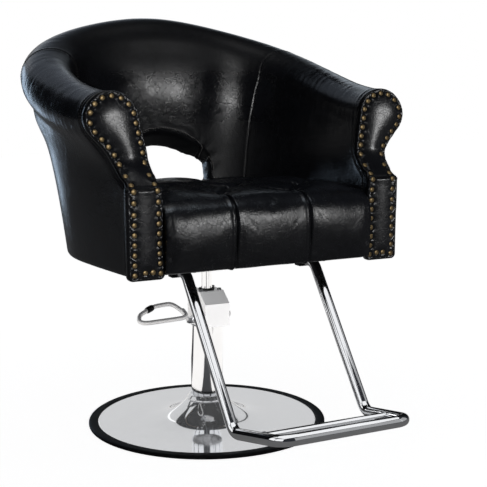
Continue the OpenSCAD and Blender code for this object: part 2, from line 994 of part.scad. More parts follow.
boss_r = 9;
module pedal_boss() {
    color(chrome)
        difference() {
            union() {
                translate([pedal_x, pedal_y, pedal_z])
                    rotate([90, 0, 0])
                        cylinder(r = boss_r, h = ear_gap - 4, center = true);
                translate([pedal_x, pedal_y - 5, pedal_z - 3])
                    cube([plunger_x - pedal_x + 1, 10, 6]);
                translate([pedal_x - 22, pedal_y - 7, pedal_z - 7])
                    cube([20, 14, 14]);
            }
            translate([pedal_x, pedal_y, pedal_z])
                rotate([90, 0, 0])
                    cylinder(r = pin_r + run_gap, h = 60, center = true);
        }
}

// Arched arm of the pedal, then its straight foot bar in front
pedal_arm = [
    [pedal_x - 21, pedal_y, pedal_z], [pedal_x - 32, pedal_y + 6, pedal_z + 22],
    [-104, pedal_y + 24, pedal_z + 41], [-150, pedal_y + 24, pedal_z + 38],
    [-196, pedal_y + 6, pedal_z + 24], [-pedal_reach - 3, pedal_y - 22, pedal_z + 12],
    [-190, pedal_y - 33, pedal_z + 12], [-96, pedal_y - 33, pedal_z + 15],
    [-80, pedal_y - 18, pedal_z + 17], [-83, pedal_y + 4, pedal_z + 27]
];

module pedal_rod() {
    color(chrome)
        bar_along(rounded_path(pedal_arm, 9, 4), pedal_rod_dia / 2, [0.1, 0.25, 1], 14);
}

// Collar on the straight part of the arched arm, where it starts to drop
module pedal_grip() {
    a = mix(pedal_arm[4], pedal_arm[3], 0.5);
    b = mix(pedal_arm[4], pedal_arm[3], 0.9);
    d = unit(b - a);
    color(black)
        translate(a)
            rotate([0, acos(d[2]), atan2(d[1], d[0])])
                difference() {
                    cylinder(r = pedal_rod_dia / 2 + 2.5, h = norm(b - a));
                    translate([0, 0, -1])
                        cylinder(r = pedal_rod_dia / 2 + 0.05, h = norm(b - a) + 2);
                }
}

module plunger() {
    color(steel)
        translate([plunger_x, pedal_y, pedal_z + 3.6])
            cylinder(r = plunger_r, h = 20);
}

base_plate();
floor_ring();
base_cover();
column_collar();
column_tube();
pump_flange();
flange_bolts();
pump_cylinder();
pump_head();
head_screws();
rod_bush();
rod_wiper();
pedal_pin();
side_cap();
piston_rod();
piston();
piston_seal();
swivel_bearing();
seat_socket();
socket_bolts();
under_rails();
rail_bolts();
seat_board();
dust_cover();
seat_springs();
seat_cushion();
tub_shell();
back_frame();
left_facing();
right_facing();
left_nails();
right_nails();
opening_piping();
footrest_frame();
footrest_bar();
footrest_clamps();
clamp_bolts();
pedal_boss();
pedal_rod();
pedal_grip();
plunger();
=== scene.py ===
import json
import math
import random

import bmesh
import bpy
import numpy as np
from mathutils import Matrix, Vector
from mathutils.bvhtree import BVHTree
from mathutils.kdtree import KDTree

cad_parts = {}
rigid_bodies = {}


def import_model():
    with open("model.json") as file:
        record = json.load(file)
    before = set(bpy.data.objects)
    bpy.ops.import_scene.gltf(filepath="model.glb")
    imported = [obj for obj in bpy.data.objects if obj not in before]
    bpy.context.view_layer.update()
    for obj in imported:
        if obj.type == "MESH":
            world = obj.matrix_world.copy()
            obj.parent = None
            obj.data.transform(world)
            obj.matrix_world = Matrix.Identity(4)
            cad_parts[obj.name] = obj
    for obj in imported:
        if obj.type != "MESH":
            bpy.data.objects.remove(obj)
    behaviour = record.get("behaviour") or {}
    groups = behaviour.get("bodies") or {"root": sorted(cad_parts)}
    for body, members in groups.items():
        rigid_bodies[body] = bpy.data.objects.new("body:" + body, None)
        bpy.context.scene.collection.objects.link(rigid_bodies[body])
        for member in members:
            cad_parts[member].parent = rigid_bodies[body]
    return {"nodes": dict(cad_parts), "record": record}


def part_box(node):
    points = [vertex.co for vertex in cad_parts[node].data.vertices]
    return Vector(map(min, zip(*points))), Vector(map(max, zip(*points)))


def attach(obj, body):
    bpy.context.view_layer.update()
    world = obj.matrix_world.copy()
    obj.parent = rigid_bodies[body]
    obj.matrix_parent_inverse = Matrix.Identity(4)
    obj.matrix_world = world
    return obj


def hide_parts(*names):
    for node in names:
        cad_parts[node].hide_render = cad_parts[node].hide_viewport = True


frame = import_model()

for spare in ("Cube", "Camera", "Light"):
    if spare in bpy.data.objects:
        bpy.data.objects.remove(bpy.data.objects[spare])
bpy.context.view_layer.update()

# Lengths below are in millimetres; meshes are made in metres
MM = 0.001


SLOTS = {s["node"]: s["material_slot"] for s in frame["record"]["subparts"]}


def node_box(node):
    low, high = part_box(node)
    return np.array(low) / MM, np.array(high) / MM


TUB = node_box("tub_shell")
PANEL = node_box("right_facing")
CUSHION = node_box("seat_cushion")
REST = node_box("footrest_frame")
REST_BAR = node_box("footrest_bar")
COVER = node_box("base_cover")
RING = node_box("floor_ring")
COLLAR = node_box("column_collar")
HEAD = node_box("pump_head")
CAP = node_box("side_cap")
ROD = node_box("pedal_rod")

# ---- Numbers of the tub's form ----
FLOOR_EDGE = TUB[0][2]
R_ARM = 60.0
R_BACK = 65.0
ROLL_LOW = PANEL[1][2] - R_ARM
ROLL_HIGH = TUB[1][2] - R_BACK
ROLL_BACK = TUB[1][1] - R_BACK
ROLL_HALF_W = 363.0
ROLL_ROOT = -18.0
ROLL_SQUARE = 2.8
SCROLL_X = PANEL[1][0] - R_ARM
FRONT_Y = PANEL[0][1]
SCROLL_Y = FRONT_Y + 69
PANEL_T = 14.0
COVE_LOW = 637.0
COVE_HIGH = 704.0
ARCH_R = 135.0
ARCH_Z = 583.0
ARCH_FACE = 286.0
ARCH_TILT = math.tan(math.radians(42))
# The pedal turns on a pin between the head's ears
PEDAL_PIN = np.array([HEAD[0][0] + 9, -40.0, 275.0])


# ---- Arithmetic ----
def smooth(t):
    c = np.clip(t, 0, 1)
    return c * c * (3 - 2 * c)


def mix(a, b, t):
    return a + (b - a) * t


def bell(x, width):
    return np.exp(-((x / width) ** 2))


def unit(v):
    v = np.asarray(v, float)
    return v / np.maximum(np.linalg.norm(v, axis=-1, keepdims=True), 1e-9)


def lattice(ix, iy, iz, seed):
    """Repeatable value in 0..1 for each lattice point."""
    h = (ix * 374761393 + iy * 668265263 + iz * 2147483647 + seed * 974634777) & 0xFFFFFFFF
    h = ((h ^ (h >> 13)) * 1274126177) & 0xFFFFFFFF
    return ((h ^ (h >> 16)) & 0xFFFF) / 65535.0


def noise(points, size, seed=0):
    """Smooth noise in -1..1 with features of the given size, for an array of points."""
    p = np.asarray(points, float) / size + 1000.0
    base = np.floor(p).astype(np.int64)
    f = smooth(p - base)
    total = 0.0
    for dx in (0, 1):
        wx = f[:, 0] if dx else 1 - f[:, 0]
        for dy in (0, 1):
            wy = f[:, 1] if dy else 1 - f[:, 1]
            for dz in (0, 1):
                wz = f[:, 2] if dz else 1 - f[:, 2]
                cell = lattice(base[:, 0] + dx, base[:, 1] + dy, base[:, 2] + dz, seed)
                total = total + wx * wy * wz * cell
    return total * 2 - 1


# ---- Mesh helpers ----
def mesh_from(name, points, faces):
    mesh = bpy.data.meshes.new(name)
    mesh.from_pydata((np.asarray(points, float) * MM).tolist(), [], [list(f) for f in faces])
    return mesh


def face_outwards(mesh, merge=0.0):
    """Turns all faces outwards, after joining points closer than merge."""
    bm = bmesh.new()
    bm.from_mesh(mesh)
    if merge:
        bmesh.ops.remove_doubles(bm, verts=bm.verts, dist=merge)
    bmesh.ops.recalc_face_normals(bm, faces=bm.faces)
    bm.to_mesh(mesh)
    bm.free()


def make_object(name, points, faces, material, body, node=None):
    """Finished piece from points and faces; see finish_object."""
    mesh = mesh_from(name, points, faces)
    mesh.validate()
    return finish_object(name, mesh, material, body, node)


def finish_object(name, mesh, material, body, node=None):
    """Piece that rides on a body; it stands in for the given CAD node, which it hides."""
    face_outwards(mesh, 1e-6)
    mesh.materials.clear()
    mesh.materials.append(material)
    mesh.shade_smooth()
    obj = bpy.data.objects.new(name, mesh)
    bpy.context.scene.collection.objects.link(obj)
    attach(obj, body)
    if node:
        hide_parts(node)
    return obj


def sharpen(obj, degrees=38):
    obj.data.set_sharp_from_angle(angle=math.radians(degrees))


def ring_turns(count):
    return np.linspace(0, 2 * math.pi, count, endpoint=False)


def grid_faces(rows, columns, offset=0):
    """Faces between successive closed rings of points."""
    return [(offset + i * columns + j, offset + i * columns + (j + 1) % columns,
             offset + (i + 1) * columns + (j + 1) % columns, offset + (i + 1) * columns + j)
            for i in range(rows - 1) for j in range(columns)]


def end_caps(rows, columns, offset=0):
    """Flat faces over the first and the last ring."""
    last = offset + (rows - 1) * columns
    return [tuple(offset + j for j in range(columns))[::-1], tuple(last + j for j in range(columns))]


def lofted(rings):
    """Points and faces of a solid through closed rings, with flat ends."""
    rings = np.asarray(rings, float)
    rows, columns = rings.shape[:2]
    return rings.reshape(-1, 3), grid_faces(rows, columns) + end_caps(rows, columns)


def revolved(profile, steps=160):
    """Solid of revolution round the upright axis from a closed outline of (radius, height)."""
    profile = np.asarray(profile, float)
    rings = np.stack([
        np.stack([profile[:, 0] * math.cos(a), profile[:, 0] * math.sin(a), profile[:, 1]], 1)
        for a in ring_turns(steps)
    ])
    n = len(profile)
    faces = []
    for i in range(steps):
        a, b = i * n, ((i + 1) % steps) * n
        for j in range(n):
            k = (j + 1) % n
            if profile[j, 0] > 1e-6 or profile[k, 0] > 1e-6:
                faces.append((a + j, b + j, b + k, a + k))
    return rings.reshape(-1, 3), faces


def rounded_path(points, radius, steps=12):
    """Points of a path whose inner corners are arcs of the given radius."""
    points = [np.asarray(p, float) for p in points]
    out = [points[0]]
    for i in range(1, len(points) - 1):
        p = points[i]
        before, after = unit(points[i - 1] - p), unit(points[i + 1] - p)
        half = math.acos(float(np.clip(before @ after, -1, 1))) / 2
        cut = radius / math.tan(half)
        start, stop = p + before * cut, p + after * cut
        centre = p + unit(before + after) * radius / math.sin(half)
        sweep = math.pi - 2 * half
        u = unit(start - centre)
        v = unit((stop - centre) - u * ((stop - centre) @ u))
        for k in range(steps + 1):
            a = sweep * k / steps
            out.append(centre + radius * (u * math.cos(a) + v * math.sin(a)))
    out.append(points[-1])
    return np.array(out)


def swept(path, radius, sides=32, closed=False):
    """Round bar along a path, carried without twist; a closed path makes a ring."""
    path = np.asarray(path, float)
    n = len(path)
    if closed:
        tangents = unit(np.roll(path, -1, 0) - np.roll(path, 1, 0))
    else:
        tangents = unit(np.vstack([path[1] - path[0], path[2:] - path[:-2], path[-1] - path[-2]]))
    side = unit(np.cross(tangents[0], [0.13, 0.31, 0.94]))
    rings = []
    radii = np.full(n, float(radius)) if np.isscalar(radius) else np.asarray(radius, float)
    turns = ring_turns(sides)
    for i in range(n):
        side = unit(side - tangents[i] * (side @ tangents[i]))
        up = np.cross(tangents[i], side)
        rings.append(path[i] + radii[i] * (np.outer(np.cos(turns), side) + np.outer(np.sin(turns), up)))
    if not closed:
        return lofted(rings)
    # the last ring meets the first with the twist that the path leaves
    twist = int(np.argmin(np.linalg.norm(rings[0] - rings[-1][0], axis=1)))
    last = (n - 1) * sides
    closing = [(last + j, last + (j + 1) % sides, (j + 1 + twist) % sides, (j + twist) % sides)
               for j in range(sides)]
    return np.concatenate(rings), grid_faces(n, sides) + closing


def softened_ends(path, radius, bevel=1.2):
    """Path and radii with a small chamfer at both ends."""
    path = np.asarray(path, float)
    a, b = unit(path[1] - path[0]), unit(path[-2] - path[-1])
    path = np.vstack([path[0], path[0] + a * bevel, path[1:-1], path[-1] + b * bevel, path[-1]])
    radii = np.full(len(path), float(radius))
    radii[0] = radii[-1] = radius - bevel
    return path, radii


def evaluated(obj):
    """Mesh of obj with its modifiers applied."""
    bpy.context.view_layer.update()
    graph = bpy.context.evaluated_depsgraph_get()
    return bpy.data.meshes.new_from_object(obj.evaluated_get(graph))


def plain_object(name, points, faces):
    """Solid that only helps to make another piece."""
    mesh = mesh_from(name, points, faces)
    face_outwards(mesh)
    obj = bpy.data.objects.new(name, mesh)
    bpy.context.scene.collection.objects.link(obj)
    return obj


def cut_away(obj, cutters):
    for cutter in cutters:
        cut = obj.modifiers.new("cut", "BOOLEAN")
        cut.operation = "DIFFERENCE"
        cut.solver = "EXACT"
        cut.object = cutter


def baked(obj, *helpers):
    """Final mesh of an object; it and its helpers are removed."""
    mesh = evaluated(obj)
    for o in (obj, *helpers):
        bpy.data.objects.remove(o)
    return mesh


def remeshed(obj, voxel, cutters=()):
    """Mesh of obj cut by the cutters and rebuilt from voxels."""
    cut_away(obj, cutters)
    grid = obj.modifiers.new("voxels", "REMESH")
    grid.mode = "VOXEL"
    grid.voxel_size = voxel * MM
    grid.use_smooth_shade = True
    return baked(obj, *cutters)


def get_points(mesh):
    co = np.zeros(len(mesh.vertices) * 3, np.float32)
    mesh.vertices.foreach_get("co", co)
    return co.reshape(-1, 3).astype(float) / MM


def set_points(mesh, points):
    mesh.vertices.foreach_set("co", (points * MM).astype(np.float32).ravel())
    mesh.update()


def get_normals(mesh):
    n = np.zeros(len(mesh.vertices) * 3, np.float32)
    mesh.vertex_normals.foreach_get("vector", n)
    return n.reshape(-1, 3).astype(float)


def get_edges(mesh):
    e = np.zeros(len(mesh.edges) * 2, np.int32)
    mesh.edges.foreach_get("vertices", e)
    return e.reshape(-1, 2)


def relax(points, edges, rounds, share=0.5, weight=None):
    """Moves each point towards the mean of its neighbours."""
    n = len(points)
    degree = np.bincount(edges.ravel(), minlength=n).astype(float)[:, None]
    w = share if weight is None else share * weight[:, None]
    for _ in range(rounds):
        total = np.stack([
            np.bincount(edges[:, 0], points[edges[:, 1], a], n)
            + np.bincount(edges[:, 1], points[edges[:, 0], a], n)
            for a in range(3)
        ], 1)
        points = points + w * (total / degree - points)
    return points


def fair(points, edges, rounds):
    """Smooths without shrinking."""
    for _ in range(rounds):
        points = relax(points, edges, 1, 0.6)
        points = relax(points, edges, 1, -0.62)
    return points


def distance_to(points, path, reach):
    """Distance from each point to a dense path, where it is within reach."""
    tree = KDTree(len(path))
    for i, p in enumerate(path):
        tree.insert(Vector(p), i)
    tree.balance()
    low, high = path.min(0) - reach, path.max(0) + reach
    out = np.full(len(points), 1e6)
    for i in np.where(((points > low) & (points < high)).all(1))[0]:
        out[i] = tree.find(points[i])[2]
    return out


def resampled(path, step):
    """Path with points at an even pace."""
    path = np.asarray(path, float)
    lengths = np.concatenate([[0], np.cumsum(np.linalg.norm(np.diff(path, axis=0), axis=1))])
    count = max(2, int(lengths[-1] / step) + 1)
    at = np.linspace(0, lengths[-1], count)
    return np.stack([np.interp(at, lengths, path[:, a]) for a in range(3)], 1)


def carve_seam(points, normals, path, depth=2.2, width=2.2, puff=1.0, spread=9.0):
    """Sinks a sewn seam along the path and raises the padding on both sides of it."""
    d = distance_to(points, resampled(path, 1.5), 40)
    sink = -depth * bell(d, width)
    rise = puff * (d / spread) * np.exp(1 - (d / spread) ** 2) * (d < 39)
    return points + normals * (sink + rise)[:, None]


def surface_tree(mesh):
    points = get_points(mesh)
    faces = [tuple(p.vertices) for p in mesh.polygons]
    return BVHTree.FromPolygons(points.tolist(), faces)


def on_surface(tree, path):
    """Nearest surface points and normals along a path."""
    spots, normals = [], []
    for p in path:
        spot, normal, _, _ = tree.find_nearest(Vector(p))
        spots.append(spot)
        normals.append(normal)
    return np.array(spots), np.array(normals)


def stitch_row(tree, path, sideways, pitch=6.5, length=4.6, thick=0.55):
    """Points and faces of threads laid on a surface beside a path."""
    spots, normals = on_surface(tree, resampled(path, pitch))
    along = unit(np.gradient(spots, axis=0))
    across = unit(np.cross(along, normals))
    spots, normals = on_surface(tree, spots + across * sideways)
    points, faces = [], []
    sides, rings = 6, 7
    for p, n, t in zip(spots, normals, along):
        t = unit(t - n * (t @ n))
        b = np.cross(n, t)
        start = len(points)
        for s in np.linspace(-1, 1, rings):
            r = thick * math.sqrt(max(0.02, 1 - s ** 4))
            centre = p + t * (s * length / 2) + n * (thick * 0.75 * (1 - s * s) - 0.1)
            points += [centre + r * (math.cos(a) * b + math.sin(a) * n) for a in ring_turns(sides)]
        faces += grid_faces(rings, sides, start) + end_caps(rings, sides, start)
    return points, faces


def joined(parts):
    """Points and faces of several parts as one."""
    points, faces = [], []
    for p, f in parts:
        start = len(points)
        points.extend(np.asarray(p).tolist())
        faces.extend(tuple(i + start for i in g) for g in f)
    return points, faces


# ---- Materials ----
class Graph:
    """Short forms for building a node tree."""

    def __init__(self, name):
        self.material = bpy.data.materials.new(name)
        self.material.use_nodes = True
        self.tree = self.material.node_tree
        self.shader = self.tree.nodes["Principled BSDF"]
        coords = self.tree.nodes.new("ShaderNodeTexCoord")
        self.coords = coords.outputs["Object"]
        self.facing = coords.outputs["Normal"]

    def node(self, kind, **values):
        n = self.tree.nodes.new(kind)
        for key, value in values.items():
            if key in n.inputs:
                n.inputs[key].default_value = value
            else:
                setattr(n, key, value)
        return n

    def link(self, a, b):
        self.tree.links.new(a, b)

    def noise_node(self, scale, detail=4.0, rough=0.5, warp=0.0, coords=None):
        n = self.node("ShaderNodeTexNoise")
        n.inputs["Scale"].default_value = scale
        n.inputs["Detail"].default_value = detail
        n.inputs["Roughness"].default_value = rough
        n.inputs["Distortion"].default_value = warp
        self.link(coords or self.coords, n.inputs["Vector"])
        return n

    def noise(self, *values):
        return self.noise_node(*values).outputs["Fac"]

    def ramp(self, source, stops):
        """Colour or value that changes over the given stops of (position, value)."""
        n = self.node("ShaderNodeValToRGB")
        e = n.color_ramp.elements
        while len(e) < len(stops):
            e.new(0.5)
        for i, (at, value) in enumerate(stops):
            e[i].position = at
            e[i].color = (*value, 1) if isinstance(value, tuple) else (value, value, value, 1)
        self.link(source, n.inputs["Fac"])
        return n.outputs["Color"]

    def math(self, kind, a, b):
        """Sum, product and so on of two sockets or numbers."""
        n = self.node("ShaderNodeMath")
        n.operation = kind
        for i, v in enumerate((a, b)):
            if isinstance(v, (int, float)):
                n.inputs[i].default_value = v
            else:
                self.link(v, n.inputs[i])
        return n.outputs[0]

    def part(self, vector, axis):
        n = self.node("ShaderNodeSeparateXYZ")
        self.link(vector, n.inputs[0])
        return n.outputs[axis]

    def warped(self, scale, amount):
        """Coordinates pushed about by noise, so that cells lose their straight edges."""
        n = self.noise_node(scale, 3.0)
        shift = self.node("ShaderNodeVectorMath")
        shift.operation = "SCALE"
        shift.inputs["Scale"].default_value = amount
        self.link(n.outputs["Color"], shift.inputs[0])
        add = self.node("ShaderNodeVectorMath")
        add.operation = "ADD"
        self.link(self.coords, add.inputs[0])
        self.link(shift.outputs[0], add.inputs[1])
        return add.outputs[0]

    def cracks(self, scale, width, coords):
        """Value that falls from 1 to 0 at the borders of irregular cells."""
        v = self.node("ShaderNodeTexVoronoi")
        v.feature = "DISTANCE_TO_EDGE"
        v.inputs["Scale"].default_value = scale
        v.inputs["Randomness"].default_value = 1.0
        self.link(coords, v.inputs["Vector"])
        return self.ramp(v.outputs["Distance"], [(0.0, 0.0), (width, 1.0)])

    def bump(self, height, strength, distance, before=None):
        b = self.node("ShaderNodeBump")
        b.inputs["Strength"].default_value = strength
        b.inputs["Distance"].default_value = distance
        self.link(height, b.inputs["Height"])
        if before:
            self.link(before, b.inputs["Normal"])
        return b.outputs["Normal"]

    def set(self, **values):
        """Fills the shader's inputs with sockets or values, and gives the material."""
        for key, value in values.items():
            name = key.replace("_", " ")
            if isinstance(value, (int, float, tuple)):
                self.shader.inputs[name].default_value = value
            else:
                self.link(value, self.shader.inputs[name])
        return self.material


def leather(name, creases=1.0, gloss=0.2, level=0.4, puckers=0.1, band=None):
    """Oiled black leather: a net of fine creases, grain between them and worn patches.

    Forward-facing leather is glossy only within the height band, where backs and hands polish it.
    """
    g = Graph(name)
    warp = g.warped(28.0, 0.016)
    wide = g.cracks(52.0, 0.05, warp)
    fine = g.cracks(150.0, 0.09, g.warped(70.0, 0.008))
    grain = g.noise(1500.0, 2.0)
    wrinkle = g.noise(36.0, 6.0, 0.62, 1.2)
    worn = g.noise(9.0, 5.0, 0.6, 0.4)
    mask = g.ramp(worn, [(0.35, 0.25), (0.7, 1.0)])
    lines = g.math("ADD", g.math("MULTIPLY", wide, 0.6), g.math("MULTIPLY", fine, 0.4))
    lines = g.math("MULTIPLY", lines, mask)
    normal = g.bump(wrinkle, puckers, 0.004)
    normal = g.bump(lines, 0.42 * creases, 0.0009, normal)
    normal = g.bump(grain, 0.2, 0.0001, normal)
    rough = g.ramp(worn, [(0.25, gloss - 0.03), (0.75, gloss + 0.07)])
    if band:
        edges = [(band[0] - 0.08, 0.32), (band[0], 0.0), (band[1], 0.0), (band[1] + 0.05, 0.32)]
        forward = g.ramp(g.math("MULTIPLY", g.part(g.facing, "Y"), -1.0), [(0.15, 0.0), (0.4, 1.0)])
        rough = g.math("ADD", rough, g.math("MULTIPLY", g.ramp(g.part(g.coords, "Z"), edges), forward))
    colour = g.ramp(wrinkle, [(0.3, (0.0045, 0.0048, 0.006)), (0.75, (0.011, 0.0115, 0.0145))])
    return g.set(Base_Color=colour, Roughness=rough, Normal=normal, Specular_IOR_Level=level,
                 Coat_Weight=0.1, Coat_Roughness=0.3)


def thread(name, tone):
    g = Graph(name)
    twist = g.noise(900.0, 2.0, 0.5, 2.0)
    dark, light = (0.25 * tone, 0.24 * tone, 0.25 * tone), (tone, 0.95 * tone, 0.9 * tone)
    return g.set(Base_Color=g.ramp(twist, [(0.3, dark), (0.7, light)]), Roughness=0.55,
                 Normal=g.bump(twist, 0.6, 0.0003))


def polished(name, tint=(0.80, 0.81, 0.83), rough=0.045, metal=1.0):
    """Mirror plating with faint smears, a slight waviness and specks of dust."""
    g = Graph(name)
    smear = g.noise(14.0, 5.0, 0.6, 0.8)
    speck = g.noise(420.0, 2.0)
    smudge = g.ramp(smear, [(0.4, rough), (0.8, rough + 0.09)])
    dust = g.ramp(speck, [(0.66, 0.0), (0.8, 0.12)])
    shade = g.ramp(smear, [(0.2, tuple(0.94 * c for c in tint)), (0.8, tint)])
    wave = g.noise(7.0, 2.0)
    return g.set(Base_Color=shade, Metallic=metal, Roughness=g.math("ADD", smudge, dust),
                 Normal=g.bump(wave, 0.08, 0.002))


def machined(name, colour, rough=0.34, wear=0.12):
    """Bare or zinc-plated metal with tool marks and dull patches."""
    g = Graph(name)
    patch = g.noise(38.0, 5.0, 0.6)
    marks = g.noise(600.0, 3.0, 0.5, 0.5)
    dark = tuple(c * 0.7 for c in colour)
    return g.set(Base_Color=g.ramp(patch, [(0.3, dark), (0.65, colour)]), Metallic=1.0,
                 Roughness=g.ramp(patch, [(0.3, rough + wear), (0.7, rough)]),
                 Normal=g.bump(marks, 0.25, 0.0002))


def brass_with_patina_and_painted_shade():
    """Brass nail heads, bright on the crown and dark at the rim: patina, and painted shade where the head
    meets the leather.
    """
    g = Graph("antique_brass")
    crown = g.node("ShaderNodeAttribute", attribute_name="crown")
    patch = g.noise(260.0, 4.0, 0.6)
    height = g.math("ADD", crown.outputs["Fac"], g.math("MULTIPLY", g.math("SUBTRACT", patch, 0.5), 0.5))
    # from crown to rim the colour falls to near black: patina with painted shade at the rim
    colour = g.ramp(height, [(0.06, (0.012, 0.009, 0.006)), (0.3, (0.24, 0.16, 0.07)),
                             (0.7, (0.66, 0.48, 0.24))])
    rough = g.ramp(height, [(0.1, 0.7), (0.8, 0.42)])
    return g.set(Base_Color=colour, Metallic=0.9, Roughness=rough, Normal=g.bump(patch, 0.3, 0.0003))


def rubber():
    g = Graph("black_rubber")
    dust = g.noise(30.0, 5.0, 0.65)
    pores = g.noise(900.0, 2.0)
    return g.set(Base_Color=g.ramp(dust, [(0.35, (0.016, 0.016, 0.017)), (0.8, (0.045, 0.045, 0.047))]),
                 Roughness=g.ramp(dust, [(0.3, 0.5), (0.7, 0.72)]), Normal=g.bump(pores, 0.4, 0.0002))


def plywood():
    g = Graph("plywood")
    stretch = g.node("ShaderNodeMapping")
    stretch.inputs["Scale"].default_value = (60.0, 5.0, 60.0)
    g.link(g.coords, stretch.inputs["Vector"])
    grain = g.noise(3.0, 6.0, 0.6, 0.6, stretch.outputs[0])
    return g.set(Base_Color=g.ramp(grain, [(0.3, (0.33, 0.2, 0.1)), (0.7, (0.6, 0.43, 0.25))]),
                 Roughness=0.7, Normal=g.bump(grain, 0.3, 0.0006))


def cloth():
    g = Graph("black_cloth")
    weave = g.node("ShaderNodeTexWave")
    weave.inputs["Scale"].default_value = 260.0
    g.link(g.coords, weave.inputs["Vector"])
    lint = g.noise(60.0, 5.0)
    return g.set(Base_Color=g.ramp(lint, [(0.3, (0.008, 0.008, 0.009)), (0.8, (0.03, 0.03, 0.032))]),
                 Roughness=0.9, Normal=g.bump(weave.outputs["Fac"], 0.5, 0.0004))


LEATHER = leather("black_leather", 0.75, 0.16, 0.42, 0.03, (0.765, 0.865))
PANEL_LEATHER = leather("panel_leather", 0.6, 0.22, 0.45, 0.05)
SEAT_LEATHER = leather("seat_leather", 0.85, 0.25, 0.45, 0.03)
THREAD = thread("thread", 0.05)
PALE_THREAD = thread("pale_thread", 0.5)
CHROME = polished("chrome")
DISH_CHROME = polished("dish_chrome", (0.83, 0.84, 0.86), 0.055, 0.8)
HEAD_CHROME = polished("head_chrome", (0.94, 0.94, 0.95), 0.28, 0.4)
STEEL = machined("steel", (0.5, 0.51, 0.53))
# near-black steel for the parts under the seat: painted shade under the cushion
UNDER_SEAT_SHADE = machined("steel_in_painted_shade", (0.025, 0.025, 0.027), 0.45)
BRONZE = machined("bronze", (0.6, 0.42, 0.2), 0.28)
BRASS = brass_with_patina_and_painted_shade()
RUBBER = rubber()
PLYWOOD = plywood()
CLOTH = cloth()


# ---- Tub ----
def front_at(z):
    """Front of the arm panels at height z: plumb below, coved back to the scroll above."""
    z = np.asarray(z, float)
    rise = 13 * (z - COVE_HIGH) / (ROLL_LOW + R_ARM - COVE_HIGH)
    up_cove = np.clip((z - COVE_LOW) / (COVE_HIGH - COVE_LOW), 0, 1)
    cove = mix(FRONT_Y, SCROLL_Y - 5, np.sin(np.pi / 2 * up_cove))
    return np.where(z < COVE_LOW, FRONT_Y, np.where(z < COVE_HIGH, cove, SCROLL_Y - 5 + rise))


ARM_START = FRONT_Y - 8


def plan(s, half_w, root, back, square, taper, taper_y):
    """Plan curve: -1 is the arm's front, 0 its root, 1 the middle of the back."""
    s = np.asarray(s, float)
    y_arm = mix(root, ARM_START, -s)
    x_arm = half_w - taper * np.clip((root - y_arm) / (root - taper_y), 0, None) ** 1.5
    a = np.clip(s, 0, 1) * np.pi / 2
    x = half_w * np.clip(np.cos(a), 0, None) ** (2 / square)
    y = root + (back - root) * np.sin(a) ** (2 / square)
    return np.stack([np.where(s < 0, x_arm, x), np.where(s < 0, y_arm, y)], -1)


def roll_plan(s):
    return plan(s, ROLL_HALF_W, ROLL_ROOT, ROLL_BACK, ROLL_SQUARE, 20, SCROLL_Y + 10)


def foot_plan(s):
    return plan(s, 358, -52, 311, 2.05, 27, FRONT_Y + PANEL_T)


def inner_plan(s):
    return plan(s, 262, -60, 268, 2.6, 3, FRONT_Y + PANEL_T)


def roll_normal(s):
    d = unit(roll_plan(np.minimum(1, s + 0.004)) - roll_plan(np.maximum(0, s - 0.004)))
    n = np.stack([d[..., 1], -d[..., 0]], -1)
    n = np.where((s <= 0)[..., None], [1.0, 0.0], n)
    return np.where((s > 0.998)[..., None], [0.0, 1.0], n)


ARC_S = np.linspace(0, 1, 600) ** 1.8
ARC_LENGTH = np.concatenate([[0], np.cumsum(np.linalg.norm(np.diff(roll_plan(ARC_S), axis=0), axis=1))])
ARM_LENGTH = ROLL_ROOT - SCROLL_Y


def way(s):
    """Share of the way from the arm's front to the middle of the back."""
    arm = np.maximum(0, roll_plan(s)[..., 1] - SCROLL_Y)
    back = ARM_LENGTH + np.interp(s, ARC_S, ARC_LENGTH)
    return np.where(s < 0, arm, back) / (ARM_LENGTH + ARC_LENGTH[-1])


def roll_height(s):
    u = way(s) ** 1.1
    return mix(ROLL_LOW, ROLL_HIGH, 0.13 * (u - 2 * u * u + u ** 3) + smooth(u))


def shell_section(s):
    """Closed section of the shell at one station, from the seat side over the roll to the outside."""
    s = np.float64(s)
    n = roll_normal(s)
    top = roll_height(s)
    r = mix(R_ARM, R_BACK, smooth(way(s) * 1.6))
    roll, foot, inner = roll_plan(s), foot_plan(s), inner_plan(s)
    neck = roll + n * (mix(-2, 32, smooth(way(s) * 2.2)) - 16 * smooth(way(s) * 2 - 1))
    wall_power = mix(1.3, 0.6, smooth(way(s)))

    def lift(xy, z):
        return np.array([xy[0], xy[1], z])

    points = [lift(mix(inner, foot, t), FLOOR_EDGE) for t in (0.75, 0.5, 0.25, 0.05)]
    points += [lift(inner, z) for z in np.linspace(FLOOR_EDGE + 4, 548, 8)]
    for t in np.linspace(0, 0.97, 34):
        points.append(lift(mix(inner, roll - n * r, t ** wall_power), mix(560, top - 15, t)))
    for a in np.radians(np.linspace(180, -52, 64)):
        points.append(lift(roll + n * r * np.cos(a), top + r * np.sin(a)))
    last = points[-1]
    start = lift(neck, top - 100)
    points += [mix(last, start, t) for t in (0.25, 0.5, 0.75)]
    for t in np.linspace(0, 1, 34):
        points.append(lift(mix(neck, foot, t ** 0.55), mix(top - 100, FLOOR_EDGE + 10, t)))
    for a in np.radians([30, 60, 90]):
        points.append(lift(foot - n * 10 * (1 - np.cos(a)), FLOOR_EDGE + 10 * (1 - np.sin(a))))
    return np.array(points)


STATIONS = np.concatenate([np.linspace(-1, 0, 22)[:-1], np.linspace(0, 1, 100) ** 1.35])
RIGHT_SIDE = np.stack([shell_section(s) for s in STATIONS])


def mirrored(points):
    return np.asarray(points) * [-1, 1, 1]


